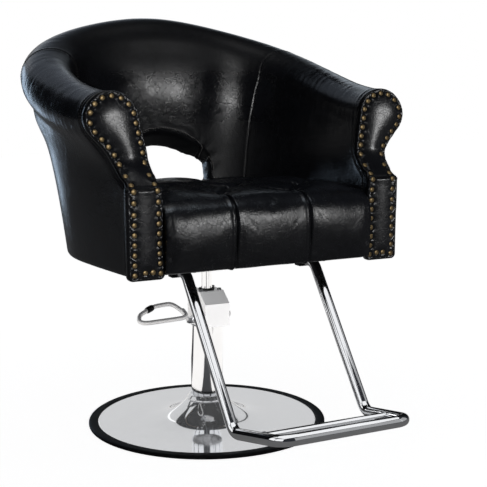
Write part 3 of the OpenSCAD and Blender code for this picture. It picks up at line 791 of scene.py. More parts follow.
def arch_cutter():
    turns = np.radians(np.linspace(0, 180, 72))
    outline = np.stack([ARCH_R * np.cos(turns), ARCH_R * np.sin(turns)], 1)
    rings = []
    for y in (180.0, 400.0):
        lift = ARCH_Z + (ARCH_FACE - y) * ARCH_TILT
        ring = [[x, y, max(ARCH_Z, z + lift)] for x, z in outline]
        ring += [[-ARCH_R, y, ARCH_Z], [0, y, ARCH_Z], [ARCH_R, y, ARCH_Z]]
        rings.append(ring)
    return plain_object("arch_cutter", *lofted(rings))


def front_cutter():
    """Everything in front of the arm panels' backs."""
    z = np.concatenate([[430, COVE_LOW], np.linspace(COVE_LOW + 4, COVE_HIGH, 16), [ROLL_LOW + R_ARM, 900]])
    y = front_at(np.minimum(z, ROLL_LOW + R_ARM)) + PANEL_T + 0.6
    outline = np.concatenate([np.stack([y, z], 1), [[-420, 900], [-420, 430]]])
    rings = [[[x, p[0], p[1]] for p in outline] for x in (-500, 500)]
    return plain_object("front_cutter", *lofted(rings))


def seam_line(y_at):
    """Path round the shell's section where it crosses a nearly flat upright plane, right side."""
    back = RIGHT_SIDE[21:]
    path = []
    for j in range(14, back.shape[1] - 6):
        gap = back[:, j, 1] - y_at(back[:, j, 2])
        cross = np.where((gap[:-1] < 0) & (gap[1:] >= 0))[0]
        if len(cross):
            i = cross[0]
            t = gap[i] / (gap[i] - gap[i + 1])
            path.append(mix(back[i, j], back[i + 1, j], t))
    return resampled(path, 3)


def band_line(offset):
    """Path behind an arm panel, over the roll and down both sides."""
    path = []
    for j in range(10, RIGHT_SIDE.shape[1] - 4):
        column = RIGHT_SIDE[:24, j]
        want = float(front_at(min(column[0, 2], ROLL_LOW + R_ARM))) + PANEL_T + offset
        path.append([np.interp(want, column[:, 1], column[:, a]) for a in range(3)])
    return resampled(path, 3)


def back_seam_y(z):
    """The side seams lean a little: furthest back at mid height."""
    return 190 + 15 * np.sin(np.pi * np.clip((z - 560) / 400, 0, 1))


def arch_line(tree, radius, steps=90):
    """Line round the opening at the back's face, which climbs towards the seat and starts upright."""
    line = []
    for turn in np.radians(np.linspace(0, 180, steps)):
        x, y = radius * math.cos(turn), ARCH_FACE
        for _ in range(8):
            z = ARCH_Z + (ARCH_FACE - y) * ARCH_TILT + radius * math.sin(turn)
            hit = tree.ray_cast(Vector((x, 0, z)), Vector((0, 1, 0)))[0]
            y = mix(y, hit.y, 0.6) if hit is not None and hit.y < 340 else y
        line.append((x, y, z))
    foot = ARCH_Z - 4
    line = [(line[0][0], line[0][1], foot)] + line + [(line[-1][0], line[-1][1], foot)]
    return resampled(line, 3)


def drop_to_back(tree, path):
    """Moves a path along y onto the seat side of the back, and leaves out what would miss it."""
    out = []
    for p in path:
        hit = tree.ray_cast(Vector((p[0], 0, p[2])), Vector((0, 1, 0)))[0]
        if hit is not None and abs(hit.y - p[1]) < 9:
            out.append(hit)
    return np.array(out)


def near_opening(points):
    """Which points are near the opening, their height over the sill and distance from its axis."""
    inside = (np.abs(points[:, 0]) < 190) & (points[:, 1] > 150) & (points[:, 2] < 780)
    rise = np.maximum(points[:, 2] - ARCH_Z - (ARCH_FACE - points[:, 1]) * ARCH_TILT, 0)
    return inside, rise, np.hypot(points[:, 0], rise)


def roll_lip(points, edges, opening):
    """The padding rolls into the opening."""
    inside, _, from_axis = opening
    lip = inside * bell(from_axis - ARCH_R, 11) * smooth((points[:, 2] - ARCH_Z + 10) / 12)
    return relax(points, edges, 26, 0.5, lip)


def draw_cover(points, edges, normals):
    """Outside, the cover is drawn straight down from the roll."""
    outward = normals[:, 0] * points[:, 0] + normals[:, 1] * points[:, 1] > 60
    under = outward * bell(points[:, 2] - ROLL_LOW + 66, 52)
    under = under * smooth((np.abs(points[:, 0]) - 150) / 90) * (points[:, 1] > FRONT_Y + 30)
    return relax(points, edges, 160, 0.5, under)


def pad_back(points, normals):
    """The back's padding is fullest at shoulder height."""
    padded = smooth((-normals[:, 1] - 0.3) / 0.4) * smooth((points[:, 1] - 110) / 60)
    points[:, 1] -= 9.0 * padded * bell(points[:, 2] - 815, 112)


def tub_unevenness(points, opening):
    """Swell of the padding, streaks round the roll at the arms, and pull marks at the opening."""
    inside, rise, from_axis = opening
    swell = 0.7 * noise(points, 150, 3) + 0.1 * noise(points, 38, 7)
    roll_zone = smooth((points[:, 2] - 700) / 60) * smooth((np.abs(points[:, 0]) - 200) / 60)
    streak = noise(points * [1.0, 3.2, 0.5], 30, 11) * roll_zone * 0.3
    turn = np.arctan2(rise, points[:, 0])
    pull = inside * bell(from_axis - ARCH_R - 14, 16) * smooth((points[:, 2] - ARCH_Z) / 20)
    return swell + streak + 0.55 * pull * np.sin(turn * 19 + 9 * noise(points, 70, 5))


# Depth, width, puff and spread of the side seams and of the bands behind the arm panels
SEAM_FORM = (1.6, 1.8, 0.35, 8)
BAND_FORM = (1.0, 2.0, 0.4, 7)


def build_tub():
    left = mirrored(RIGHT_SIDE[:-1][::-1])
    whole = plain_object("tub_whole", *lofted(np.concatenate([RIGHT_SIDE, left])))
    mesh = remeshed(whole, 3.6, [front_cutter(), arch_cutter()])
    edges = get_edges(mesh)
    points = fair(get_points(mesh), edges, 4)
    opening = near_opening(points)
    points = roll_lip(points, edges, opening)
    set_points(mesh, points)
    normals = get_normals(mesh)
    points = draw_cover(points, edges, normals)
    pad_back(points, normals)
    set_points(mesh, points)
    points = points + get_normals(mesh) * tub_unevenness(points, opening)[:, None]
    set_points(mesh, points)

    seam, band = seam_line(back_seam_y), band_line(13)
    seams, bands = (seam, mirrored(seam)), (band, mirrored(band))
    tree = surface_tree(mesh)
    for path, form in [(p, SEAM_FORM) for p in seams] + [(p, BAND_FORM) for p in bands]:
        points = carve_seam(points, get_normals(mesh), on_surface(tree, path)[0], *form)
        set_points(mesh, points)
    finish_object("tub_leather", mesh, LEATHER, "seat", "tub_shell")
    sew_tub(surface_tree(mesh), seams, bands)


def sew_tub(tree, seams, bands):
    """Twin rows of stitches beside each seam, and the stitches and welt round the opening."""
    parts = []
    for paths, apart in ((seams, 4.6), (bands, 3.6)):
        for path in paths:
            parts += [stitch_row(tree, path, apart), stitch_row(tree, path, -apart)]
    make_object("tub_stitching", *joined(parts), THREAD, "seat")
    lining = drop_to_back(tree, arch_line(tree, ARCH_R + 9.5))
    make_object("opening_stitching", *stitch_row(tree, lining, 0.0, 5.0, 4.0, 0.95), PALE_THREAD, "seat")
    edge = drop_to_back(tree, arch_line(tree, ARCH_R + 6.5))
    piping, radii = softened_ends(resampled(edge, 4) + [0, 0.5, 0], 1.8, 0.7)
    make_object("opening_welt", *swept(piping, radii, 14), PANEL_LEATHER, "seat", "opening_piping")


# ---- Arm panels ----
def panel_rows():
    """Heights, inner and outer edges of the right panel, read from its CAD solid."""
    co = np.array([v.co for v in frame["nodes"]["right_facing"].data.vertices]) / MM
    heights = np.unique(np.round(co[:, 2], 1))
    rows = [(z, co[np.abs(co[:, 2] - z) < 0.2, 0]) for z in heights if z < ROLL_LOW + 1]
    return np.array([(z, x.min(), x.max()) for z, x in rows])


PANEL_ROWS = panel_rows()
# The leather is wrapped over the solid's edge
MARGIN = 2.5
PANEL_FOOT = FLOOR_EDGE - 5.0
PANEL_CORNER = 11.0


def panel_edges(z):
    """Inner and outer x of the panel at height z."""
    fine = np.arange(FLOOR_EDGE, ROLL_LOW + 1, 1.0)
    inner = np.interp(fine, PANEL_ROWS[:, 0], PANEL_ROWS[:, 1])
    outer = np.interp(fine, PANEL_ROWS[:, 0], PANEL_ROWS[:, 2])
    kernel = np.exp(-np.linspace(-2, 2, 25) ** 2)
    kernel /= kernel.sum()

    def soften(v):
        padded = np.concatenate([np.full(12, v[0]), v, 2 * v[-1] - v[-13:-1][::-1]])
        return np.convolve(padded, kernel, "valid")

    inner, outer = soften(inner), soften(outer)
    if z > ROLL_LOW:
        half = math.sqrt(max(0.0, (R_ARM + MARGIN) ** 2 - (z - ROLL_LOW) ** 2))
        return SCROLL_X - half, SCROLL_X + half
    a, b = np.interp(z, fine, inner) - MARGIN, np.interp(z, fine, outer) + MARGIN
    b += 3.5 * float(smooth((COVE_LOW + 12 - z) / 20))
    if z < PANEL_FOOT + PANEL_CORNER:
        cut = PANEL_CORNER - math.sqrt(PANEL_CORNER ** 2 - (PANEL_FOOT + PANEL_CORNER - z) ** 2)
        a, b = a + cut, b - cut
    # the upper part starts a little narrower than the block below it
    step = 3.0 * math.exp(-((z - COVE_LOW - 9) / 7) ** 2) if z > COVE_LOW + 1 else 0.0
    return a + step, b - step


BLOCK_HALF_W = (panel_edges(560.0)[1] - panel_edges(560.0)[0]) / 2


def panel_heights():
    corner = PANEL_FOOT + np.array([0.05, 0.5, 1.5, 3, 5, 8, PANEL_CORNER])
    low = np.concatenate([corner, np.arange(460, ROLL_LOW, 2.5)])
    top = ROLL_LOW + (R_ARM + MARGIN) * np.sin(np.radians(np.linspace(0, 88.5, 40)))
    return np.concatenate([low, top])


def islands(labels, edges):
    """One number for all points that edges join, from the label of each point."""
    group = np.arange(labels.max() + 1)

    def root(i):
        while group[i] != i:
            group[i] = group[group[i]]
            i = group[i]
        return i

    for a, b in labels[edges]:
        a, b = root(a), root(b)
        if a != b:
            group[b] = a
    return np.array([root(i) for i in labels])


def nail_places(node):
    """Centre on the panel's face of each nail of a CAD row."""
    mesh = frame["nodes"][node].data
    points = np.array([v.co for v in mesh.vertices]) / MM
    _, labels = np.unique(np.round(points, 3), axis=0, return_inverse=True)
    island = islands(labels.ravel(), get_edges(mesh))
    merged = []
    for i in np.unique(island):
        nail = points[island == i]
        p = (nail.min(0) + nail.max(0)) / 2
        if all(np.hypot(p[0] - q[0], p[2] - q[2]) > 5 for q in merged):
            merged.append(p)
    merged = np.array(merged)
    # none sits in the fold above the lower block, and the ones below move up with it
    z = merged[:, 2]
    raised = np.where(z < COVE_LOW, z + 3.5 + 6 * smooth((z - 585) / 30), z)
    merged[:, 2] = np.where(np.abs(z - COVE_LOW) < 9, COVE_LOW + 20.5, raised)
    return merged


def lean_of(z):
    """Angle by which the panel's face leans back at height z."""
    return math.atan2(float(front_at(z + 1) - front_at(z - 1)), 2.0)


def panel_blank(name, heights):
    rings = []
    for z in heights:
        a, b = panel_edges(z)
        y = float(front_at(z))
        rings.append([[a, y, z], [b, y, z], [b, y + PANEL_T, z], [a, y + PANEL_T, z]])
    return remeshed(plain_object(name, *lofted(rings)), 1.9)


def panel_outline(heights):
    """Dense outline of the panel's face, seen from the front."""
    edge_in = np.array([[panel_edges(z)[0], 0, z] for z in heights])
    edge_out = np.array([[panel_edges(z)[1], 0, z] for z in heights])
    bottom = np.array([[x, 0, PANEL_FOOT] for x in np.linspace(edge_in[0, 0], edge_out[0, 0], 30)])
    return np.concatenate([resampled(edge_in, 1.5), resampled(edge_out, 1.5), bottom])


def panel_relief(z, d):
    """Bead and groove at distance d from the edge, domed padding, and the fold above the lower block."""
    lower = z < COVE_LOW + 2
    bead = 1.2 * bell(d - 3.6, 2.8)
    groove = -0.5 * bell(d - 7.6, 2.0)
    reach = np.where(lower, BLOCK_HALF_W - 5.0, 46.0)
    crown = np.where(lower, 6.0, 11.0) * np.sin(np.clip((d - 5.0) / reach, 0, 1) * math.pi / 2)
    seam = np.abs(z - COVE_LOW - 2.5)
    crown = crown * np.where(lower, smooth(seam / 9.0), smooth(seam / 55.0))
    fold = -4.5 * bell(seam, 3.0) + 1.8 * bell(z - COVE_LOW + 4.5, 3.5)
    return bead + groove + crown + fold


def nail_relief(flat, d):
    """Leather pulled in at each nail, with a raised rim, short rays, and swells between the nails."""
    nails = nail_places("right_nails")
    tree = KDTree(len(nails))
    for i, p in enumerate(nails):
        tree.insert(Vector((p[0], 0, p[2])), i)
    tree.balance()
    found = [tree.find(Vector(p)) for p in flat]
    which, near = np.array([f[1] for f in found]), np.array([f[2] for f in found])
    angle = np.arctan2(flat[:, 2] - nails[which, 2], flat[:, 0] - nails[which, 0])
    dimple = -1.8 * bell(near, 6.5) + 1.1 * bell(near - 9.2, 2.6)
    rays = 0.5 * np.sin(angle * 4 + which * 1.7) * bell(near - 9, 4.0)
    between = 1.1 * bell(d - 10.5, 6.0) * smooth((near - 6) / 5)
    return dimple + rays + between


def build_panel(side, nail_seed):
    heights = panel_heights()
    mesh = panel_blank(side + "_panel_blank", heights)
    edges = get_edges(mesh)
    points = relax(fair(get_points(mesh), edges, 3), edges, 3, 0.5)
    set_points(mesh, points)
    normals = get_normals(mesh)
    flat = points * [1, 0, 1]
    z = points[:, 2]
    d = distance_to(flat, panel_outline(heights), 200)
    face = smooth((-normals[:, 1] - 0.15) / 0.5)
    out = panel_relief(z, d) + nail_relief(flat, d) + 0.5 * noise(points, 34, 21) * smooth(d / 12)
    lean = np.array([lean_of(v) for v in z])
    push = np.stack([np.zeros(len(z)), -np.cos(lean), np.sin(lean)], 1)
    points = points + push * (out * face)[:, None]
    # wrapped sides bulge a little
    points[:, 0] += normals[:, 0] * (1 - face) * 0.8
    # stretched padding: the middle is smooth, the rim and the fold stay crisp
    stretched = face * smooth((d - 15) / 8) * smooth((np.abs(z - COVE_LOW - 2.5) - 5) / 10)
    points = relax(points, edges, 34, 0.5, stretched)
    if side == "left":
        points = mirrored(points)
        mesh.flip_normals()
    set_points(mesh, points)
    finish_object(side + "_arm_panel", mesh, PANEL_LEATHER, "seat", side + "_facing")
    build_nails(side, surface_tree(mesh), nail_seed)


# Radius and height of the points on a nail head's side, from its rim to near the tip
NAIL_SIDE = [(6.15, -0.6), (6.25, 0.2), (6.15, 0.7), (5.7, 1.5), (4.9, 2.25), (3.8, 2.9),
             (2.45, 3.35), (1.25, 3.55)]
NAIL_TIP = 3.6
NAIL_SINK = 0.35


def build_nails(side, tree, seed):
    """Domed heads set on the panel's leather where the CAD row has them."""
    rng = random.Random(seed)
    rings, count = len(NAIL_SIDE), 22
    turns = ring_turns(count)
    points, faces, crowns = [], [], []
    for place in nail_places(side + "_nails"):
        lean = lean_of(place[2])
        axis = np.array([0, -math.cos(lean), math.sin(lean)])
        hit = tree.ray_cast(Vector(place + axis * 30), Vector(-axis))[0]
        base = np.array(hit) if hit is not None else place
        tilt = [rng.uniform(-1, 1), rng.uniform(-0.3, 0.3), rng.uniform(-1, 1)]
        axis = unit(axis + np.array(tilt) * 0.06)
        u = unit(np.cross(axis, [0.3, 0.2, 1.0]))
        v = np.cross(axis, u)
        size = rng.uniform(0.97, 1.03)
        start = len(points)
        for r, h in NAIL_SIDE:
            centre = base + axis * (h - NAIL_SINK)
            points += [centre + size * r * (math.cos(a) * u + math.sin(a) * v) for a in turns]
            crowns += [h / NAIL_TIP] * count
        points.append(base + axis * (NAIL_TIP - NAIL_SINK))
        crowns.append(1.0)
        tip, last = start + rings * count, start + (rings - 1) * count
        faces += grid_faces(rings, count, start) + end_caps(rings, count, start)[:1]
        faces += [(last + k, last + (k + 1) % count, tip) for k in range(count)]
    mesh = mesh_from(side + "_nail_heads", points, faces)
    # height on the head, from which the brass paints patina and shade at the rim
    layer = mesh.attributes.new("crown", "FLOAT", "POINT")
    layer.data.foreach_set("value", np.array(crowns, np.float32))
    finish_object(side + "_nail_heads", mesh, BRASS, "seat", side + "_nails")


# ---- Seat cushion ----
PANEL_INNER = panel_edges(560.0)[0] + MARGIN
SEAT_HALF_W = CUSHION[1][0]
SEAT_FRONT = CUSHION[0][1]
SEAT_REAR = CUSHION[1][1]
TUFT_X = 93.0
TUFT_FIRST = -251.0
TUFT_PACE = 104.0
TUFTS = [(x, TUFT_FIRST + TUFT_PACE * row) for row in range(5)
         for x in ((-TUFT_X, TUFT_X) if row % 2 == 0 else (-2 * TUFT_X, 0.0, 2 * TUFT_X))]


def seat_rear_at(x):
    """Rear end of the cushion, rounded in plan to follow the back."""
    share = np.clip(1 - (abs(x) / SEAT_HALF_W) ** 2.5, 0, 1)
    return -60 + (SEAT_REAR + 60) * share ** (1 / 2.5)


def seat_profile(x, inset):
    """Side outline of the cushion at distance x from its middle."""
    rear = seat_rear_at(x) - inset
    edge = np.clip((abs(x) - SEAT_HALF_W + 20) / 20, 0, 1)
    rounding = 1 - math.sqrt(max(0, 1 - edge ** 2))
    front, top = SEAT_FRONT + 2 * rounding, -8 * rounding
    rise = np.clip((rear + 60) / 200, 0, 1)
    knots = [
        (-320, 449 + inset), (-334, 448 + inset), (front + 8, 455), (front + 5, 480), (front + 2, 515),
        (front + 1, 546), (front + 4, 572), (front + 13, 594 + top * 0.5), (front + 32, 610 + top),
        (front + 62, 618 + top), (front + 105, 621 + top),
        (mix(-200, -150, rise), 623 + top), (mix(-150, -20, rise), mix(622, 620, rise) + top),
        (mix(-100, 120, rise), mix(616, 606, rise) + top), (rear - 14, mix(606, 598, rise) + top),
        (rear - 3, 588 + top), (rear, 570), (rear, 520), (rear - 2, 497), (-200, 495), (-300, 495),
        (-318, 490), (-320, 470),
    ]
    return np.array(knots, float)


def closed_curve(knots, per=5):
    """Catmull-Rom curve through closed knots."""
    k = np.asarray(knots, float)
    a, b, c, d = np.roll(k, 1, 0), k, np.roll(k, -1, 0), np.roll(k, -2, 0)
    square, cube = 2 * a - 5 * b + 4 * c - d, 3 * b - a - 3 * c + d
    parts = [0.5 * (2 * b + (c - a) * t + square * t ** 2 + cube * t ** 3) for t in np.arange(per) / per]
    return np.stack(parts, 1).reshape(-1, 2)


def segment_distance(p, a, b):
    """Distance from each point to a segment, and how far along it the nearest spot lies."""
    a, b = np.asarray(a, float), np.asarray(b, float)
    t = np.clip(((p - a) @ (b - a)) / ((b - a) @ (b - a)), 0, 1)
    return np.hypot(*(p - a - t[:, None] * (b - a)).T), t


def fold_lines():
    """Diamond folds between staggered tufts."""
    lines = []
    for i, a in enumerate(TUFTS):
        for b in TUFTS[i + 1:]:
            if abs(abs(a[0] - b[0]) - TUFT_X) < 1 and abs(b[1] - a[1] - TUFT_PACE) < 1:
                lines.append((a, b))
    rear = TUFTS[-1][1]
    lines += [((x, rear), (x, rear + 90)) for x in (-TUFT_X, TUFT_X)]
    for row in (1, 3):
        y = TUFT_FIRST + TUFT_PACE * row
        lines += [((s * 2 * TUFT_X, y), (s * (2 * TUFT_X + 70), y + 6)) for s in (-1, 1)]
    return lines


def top_weight(points, normals):
    return smooth((normals[:, 2] - 0.1) / 0.5) * smooth((points[:, 2] - 560) / 30)


def across_pleat(points, side):
    """Signed distance across one of the two front pleats, which waver a little."""
    return points[:, 0] - side * TUFT_X - 2.5 * np.sin((points[:, 2] - 450) / 55.0)


def seat_depth(points, normals, tuft=22.0, line=9.0, sharp=9.0):
    """How far the tufts and folds pull the cushion's top down."""
    flat = points[:, :2]
    pull, crease = np.zeros(len(points)), np.zeros(len(points))
    for t in TUFTS:
        pull = np.maximum(pull, tuft * np.exp(-np.hypot(*(flat - t).T) / 17.0))
    for a, b in fold_lines():
        d, t = segment_distance(flat, a, b)
        crease = np.maximum(crease, line * (1 - 0.35 * np.sin(np.pi * t)) * np.exp(-d / sharp))
    return (pull + crease) * top_weight(points, normals)


def pleat_depth(points, deep, width):
    """Groove of the two front pleats, from the first tufts over the crown and down the front."""
    on_front = smooth((-points[:, 1] + TUFT_FIRST + 6) / 12)
    groove = sum(bell(across_pleat(points, side), width) for side in (-1, 1))
    return deep * groove * on_front * mix(0.45, 1.0, smooth((points[:, 2] - 450) / 90))


def build_cushion():
    rings = []
    for x in 0.998 * SEAT_HALF_W * np.sin(np.radians(np.linspace(-90, 90, 121))):
        edge = np.clip((abs(x) - SEAT_HALF_W + 6) / 6, 0, 1)
        curve = closed_curve(seat_profile(x, 4 * (1 - math.sqrt(max(0.0, 1 - edge ** 2)))))
        rings.append(np.column_stack([np.full(len(curve), x), curve]))
    mesh = remeshed(plain_object("cushion_solid", *lofted(rings)), 5.2)
    edges = get_edges(mesh)
    points = relax(fair(get_points(mesh), edges, 3), edges, 2, 0.5)
    set_points(mesh, points)
    # the cover starts slack, drawn in at the tufts and pleats, and is then blown up
    normals = get_normals(mesh)
    start = points - normals * 3.5
    start[:, 2] -= seat_depth(points, normals)
    start -= normals * pleat_depth(points, 5.5, 6.5)[:, None]
    set_points(mesh, start)
    inflate(mesh, start, normals)
    obj = finish_object("seat_leather_cushion", mesh, SEAT_LEATHER, "seat", "seat_cushion")
    refine(obj)


def held_points(start, normals):
    """Points that stay put: at the tufts, along the pleats and underneath."""
    near = np.min([np.hypot(*(start[:, :2] - t).T) for t in TUFTS], 0)
    held = (near < 7) & (top_weight(start, normals) > 0.3)
    held |= pleat_depth(start, 1.0, 3.0) > 0.55
    return held | (start[:, 2] < 462) | ((normals[:, 2] < -0.4) & (start[:, 2] < 520))


def inflate(mesh, start, normals):
    """Cloth under pressure; no point moves further than the slack allows."""
    obj = bpy.data.objects.new("cushion_cloth", mesh)
    bpy.context.scene.collection.objects.link(obj)
    group = obj.vertex_groups.new(name="held")
    group.add(np.where(held_points(start, normals))[0].tolist(), 1.0, "REPLACE")
    settings = obj.modifiers.new("cloth", "CLOTH").settings
    settings.quality = 5
    settings.mass = 0.25
    settings.tension_stiffness = settings.compression_stiffness = 14
    settings.shear_stiffness = 8
    settings.bending_stiffness = 0.6
    settings.use_pressure = True
    settings.uniform_pressure_force = 4
    settings.vertex_group_mass = "held"
    settings.effector_weights.gravity = 0
    scene = bpy.context.scene
    for f in range(1, 21):
        scene.frame_set(f)
    graph = bpy.context.evaluated_depsgraph_get()
    shift = get_points(obj.evaluated_get(graph).to_mesh()) - start
    scene.frame_set(1)
    slack = 11.0
    length = np.linalg.norm(shift, axis=1, keepdims=True)
    obj.modifiers.clear()
    bpy.data.objects.remove(obj)
    set_points(mesh, start + shift * np.minimum(1, slack / np.maximum(length, 1e-6)))


def halved(obj):
    """Replaces the mesh of a piece by one of half the pace."""
    sub = obj.modifiers.new("finer", "SUBSURF")
    sub.levels = sub.render_levels = 1
    mesh, old = evaluated(obj), obj.data
    obj.modifiers.clear()
    obj.data = mesh
    mesh.materials.clear()
    mesh.materials.append(old.materials[0])
    bpy.data.meshes.remove(old)
    return mesh


def gathers(flat):
    """Small folds that fan out from each tuft."""
    total = np.zeros(len(flat))
    for i, t in enumerate(TUFTS):
        dx, dy = (flat - t).T
        turn = np.arctan2(dy, dx)
        fan = np.sin(turn * 7 + i) + 0.6 * np.sin(turn * 11 + 2.3 * i)
        total += fan * 2.0 * bell(np.hypot(dx, dy) - 18, 15.0)
    return total


def pleat_folds(points):
    """Each pleat is a fold laid over to the left with a narrow shadow gap on its right."""
    total = np.zeros(len(points))
    for side in (-1, 1):
        d = across_pleat(points, side)
        total += 4.0 * bell(d + 7.0, 4.6) - 5.5 * bell(d - 0.4, 1.9)
        total += 2.3 * bell(d - 6.0, 3.2)
    on_front = smooth((-points[:, 1] + TUFT_FIRST + 10) / 14)
    return total * on_front * mix(0.5, 1.0, smooth((points[:, 2] - 447) / 60))


def refine(obj):
    """Adds to the cushion the narrow folds that are finer than a voxel."""
    mesh = halved(obj)
    points, normals = get_points(mesh), get_normals(mesh)
    depth = seat_depth(points, normals, 5.0, 6.5, 4.5)
    wrinkle = 0.6 * noise(points * [1, 1, 1.5], 55, 31) + 0.18 * noise(points, 19, 32)
    shift = gathers(points[:, :2]) * top_weight(points, normals) + pleat_folds(points) + wrinkle
    points = points + normals * shift[:, None]
    points[:, 2] -= depth
    # the sides press against the arms
    across = np.abs(points[:, 0])
    reach = smooth((np.abs(normals[:, 0]) - 0.3) / 0.4) * smooth((across - 212) / 14)
    reach = reach * smooth((-60 - points[:, 1]) / 110)
    points[:, 0] = mix(points[:, 0], np.sign(points[:, 0]) * (PANEL_INNER - 1.5), reach)
    # a small hem bump hangs under each pleat
    for side in (-1, 1):
        d = np.hypot(points[:, 0] - side * TUFT_X + 4, points[:, 1] - SEAT_FRONT - 14)
        points[:, 2] -= 3.0 * bell(d, 7.0) * (points[:, 2] < 458)
    set_points(mesh, points)
    mesh.shade_smooth()


# ---- Footrest ----
def build_footrest():
    tube = (REST_BAR[1][2] - REST_BAR[0][2]) / 2 + 1.5
    half, top = REST[1][0] - tube, REST[1][2] - tube
    knee_y, bend_y, bend_z = -244.0, -476.0, 130.0
    front_y, front_z = REST[0][1] + tube, 164.0
    leg = [(half, REST[1][1], top), (half, knee_y, top), (half - 2, bend_y, bend_z),
           (half - 15, front_y, front_z)]
    path = rounded_path(leg + [(-x, y, z) for x, y, z in leg[::-1]], 34, 20)
    bent = swept(*softened_ends(path, tube), 48)
    loop = make_object("footrest_tube", *bent, CHROME, "seat", "footrest_frame")
    _, y, z = (REST_BAR[0] + REST_BAR[1]) / 2
    bar = resampled([(REST_BAR[0][0] - 1.2, y, z), (REST_BAR[1][0] + 1.2, y, z)], 20)
    cross = make_object("footrest_cross_bar", *swept(bar, tube - 1.5, 48), CHROME, "seat", "footrest_bar")
    sharpen(loop)
    sharpen(cross)
    # weld beads where the cross bar meets the loop
    turns = ring_turns(60)
    beads = []
    for x in (REST_BAR[0][0], REST_BAR[1][0]):
        bulge = 0.2 + 0.024 * ((tube - 1) * np.cos(turns)) ** 2
        ring = np.stack([x + math.copysign(1, x) * bulge, y + (tube - 0.6) * np.cos(turns),
                         z + (tube - 0.6) * np.sin(turns)], 1)
        beads.append(swept(ring, 1.5 + 0.25 * np.sin(turns * 17), 10, closed=True))
    make_object("footrest_welds", *joined(beads), CHROME, "seat")


# ---- Base ----
COVER_THICK = 1.5
COVER_BORE = 45.5
TRIM_BORE = 39.75
RING_WIDTH = 22.5


def cover_height(r):
    """The cover is a shallow dish that flares up to the collar."""
    rim, collar = COVER[1][0], COLLAR[1][0]
    low, high = COVER[0][2] + COVER_THICK, COVER[1][2]
    return mix(low, high, np.clip((rim - r) / (rim - collar), 0, 1) ** 5.5)


def build_base():
    rim = COVER[1][0]
    radii = mix(rim, COVER_BORE, np.sin(np.radians(np.linspace(0, 90, 90))))
    heights = cover_height(radii)
    upper = list(zip(radii, heights))
    lower = [(r, z - COVER_THICK) for r, z in upper[::-1]]
    edge = [(rim, heights[0] - COVER_THICK), (rim + 0.35, heights[0] - 0.8)]
    make_object("base_dish", *revolved(upper + lower[:-1] + edge, 256), DISH_CHROME, "base", "base_cover")

    inner, outer = RING[1][0] - RING_WIDTH, RING[1][0]
    section = [(inner, 0.4), (inner + 0.6, 0), (outer - 2.4, 0), (outer - 0.7, 0.6), (outer, 2.2),
               (outer, 5.6), (outer - 0.9, 7.2), (outer - 3.2, 8.6), (outer - 8, 9.5), (inner + 6, 10),
               (inner + 2.5, 10), (inner + 0.9, 9.6), (inner, 8.8)]
    make_object("base_rubber_ring", *revolved(section, 256), RUBBER, "base", "floor_ring")

    low, high, r = COLLAR[0][2], COLLAR[1][2], COLLAR[1][0]
    section = [(TRIM_BORE, low), (r - 0.8, low), (r, low + 0.8), (r, low + 3.2), (r - 0.8, low + 4.4),
               (r - 3.4, low + 8.2), (r - 5.2, low + 10.6), (r - 6.4, high - 0.9), (r - 7.6, high - 0.2),
               (r - 9, high), (TRIM_BORE + 0.6, high), (TRIM_BORE, high - 0.6)]
    sharpen(make_object("column_trim", *revolved(section), DISH_CHROME, "base", "column_collar"), 60)


def bevelled(obj, width):
    bevel = obj.modifiers.new("edges", "BEVEL")
    bevel.width = width * MM
    bevel.segments = 4
    bevel.limit_method = "ANGLE"
    bevel.angle_limit = math.radians(30)
    bevel.harden_normals = True


def bore_cutter(name, radius, low, high):
    return plain_object(name, *revolved([(0, low), (radius, low), (radius, high), (0, high)], 72))


def box_cutter(name, low, high):
    (x0, y0, z0), (x1, y1, z1) = low, high
    rings = [[[x, y0, z0], [x, y1, z0], [x, y1, z1], [x, y0, z1]] for x in (x0, x1)]
    return plain_object(name, *lofted(rings))


def ear(y0, y1, inner_x, radius=9.0):
    """One lug that holds an end of the hinge pin, with the pin's hole left solid."""
    x, _, z = PEDAL_PIN
    turns = np.radians(np.linspace(90, 270, 25))
    arc = [(x + radius * math.cos(a), z + radius * math.sin(a)) for a in turns]
    outline = [(inner_x, z + radius)] + arc + [(inner_x, z - radius)]
    rings = []
    for shrink, y in ((0.8, y0), (0.0, y0 + 0.8), (0.0, y1 - 0.8), (0.8, y1)):
        ring = []
        for p in outline:
            v = np.array([p[0] - x, p[1] - z])
            v = v * (1 - shrink / np.linalg.norm(v)) if p[0] < inner_x - 0.01 else v
            ring.append([x + v[0], y, z + v[1]])
        rings.append(ring)
    return lofted(rings)


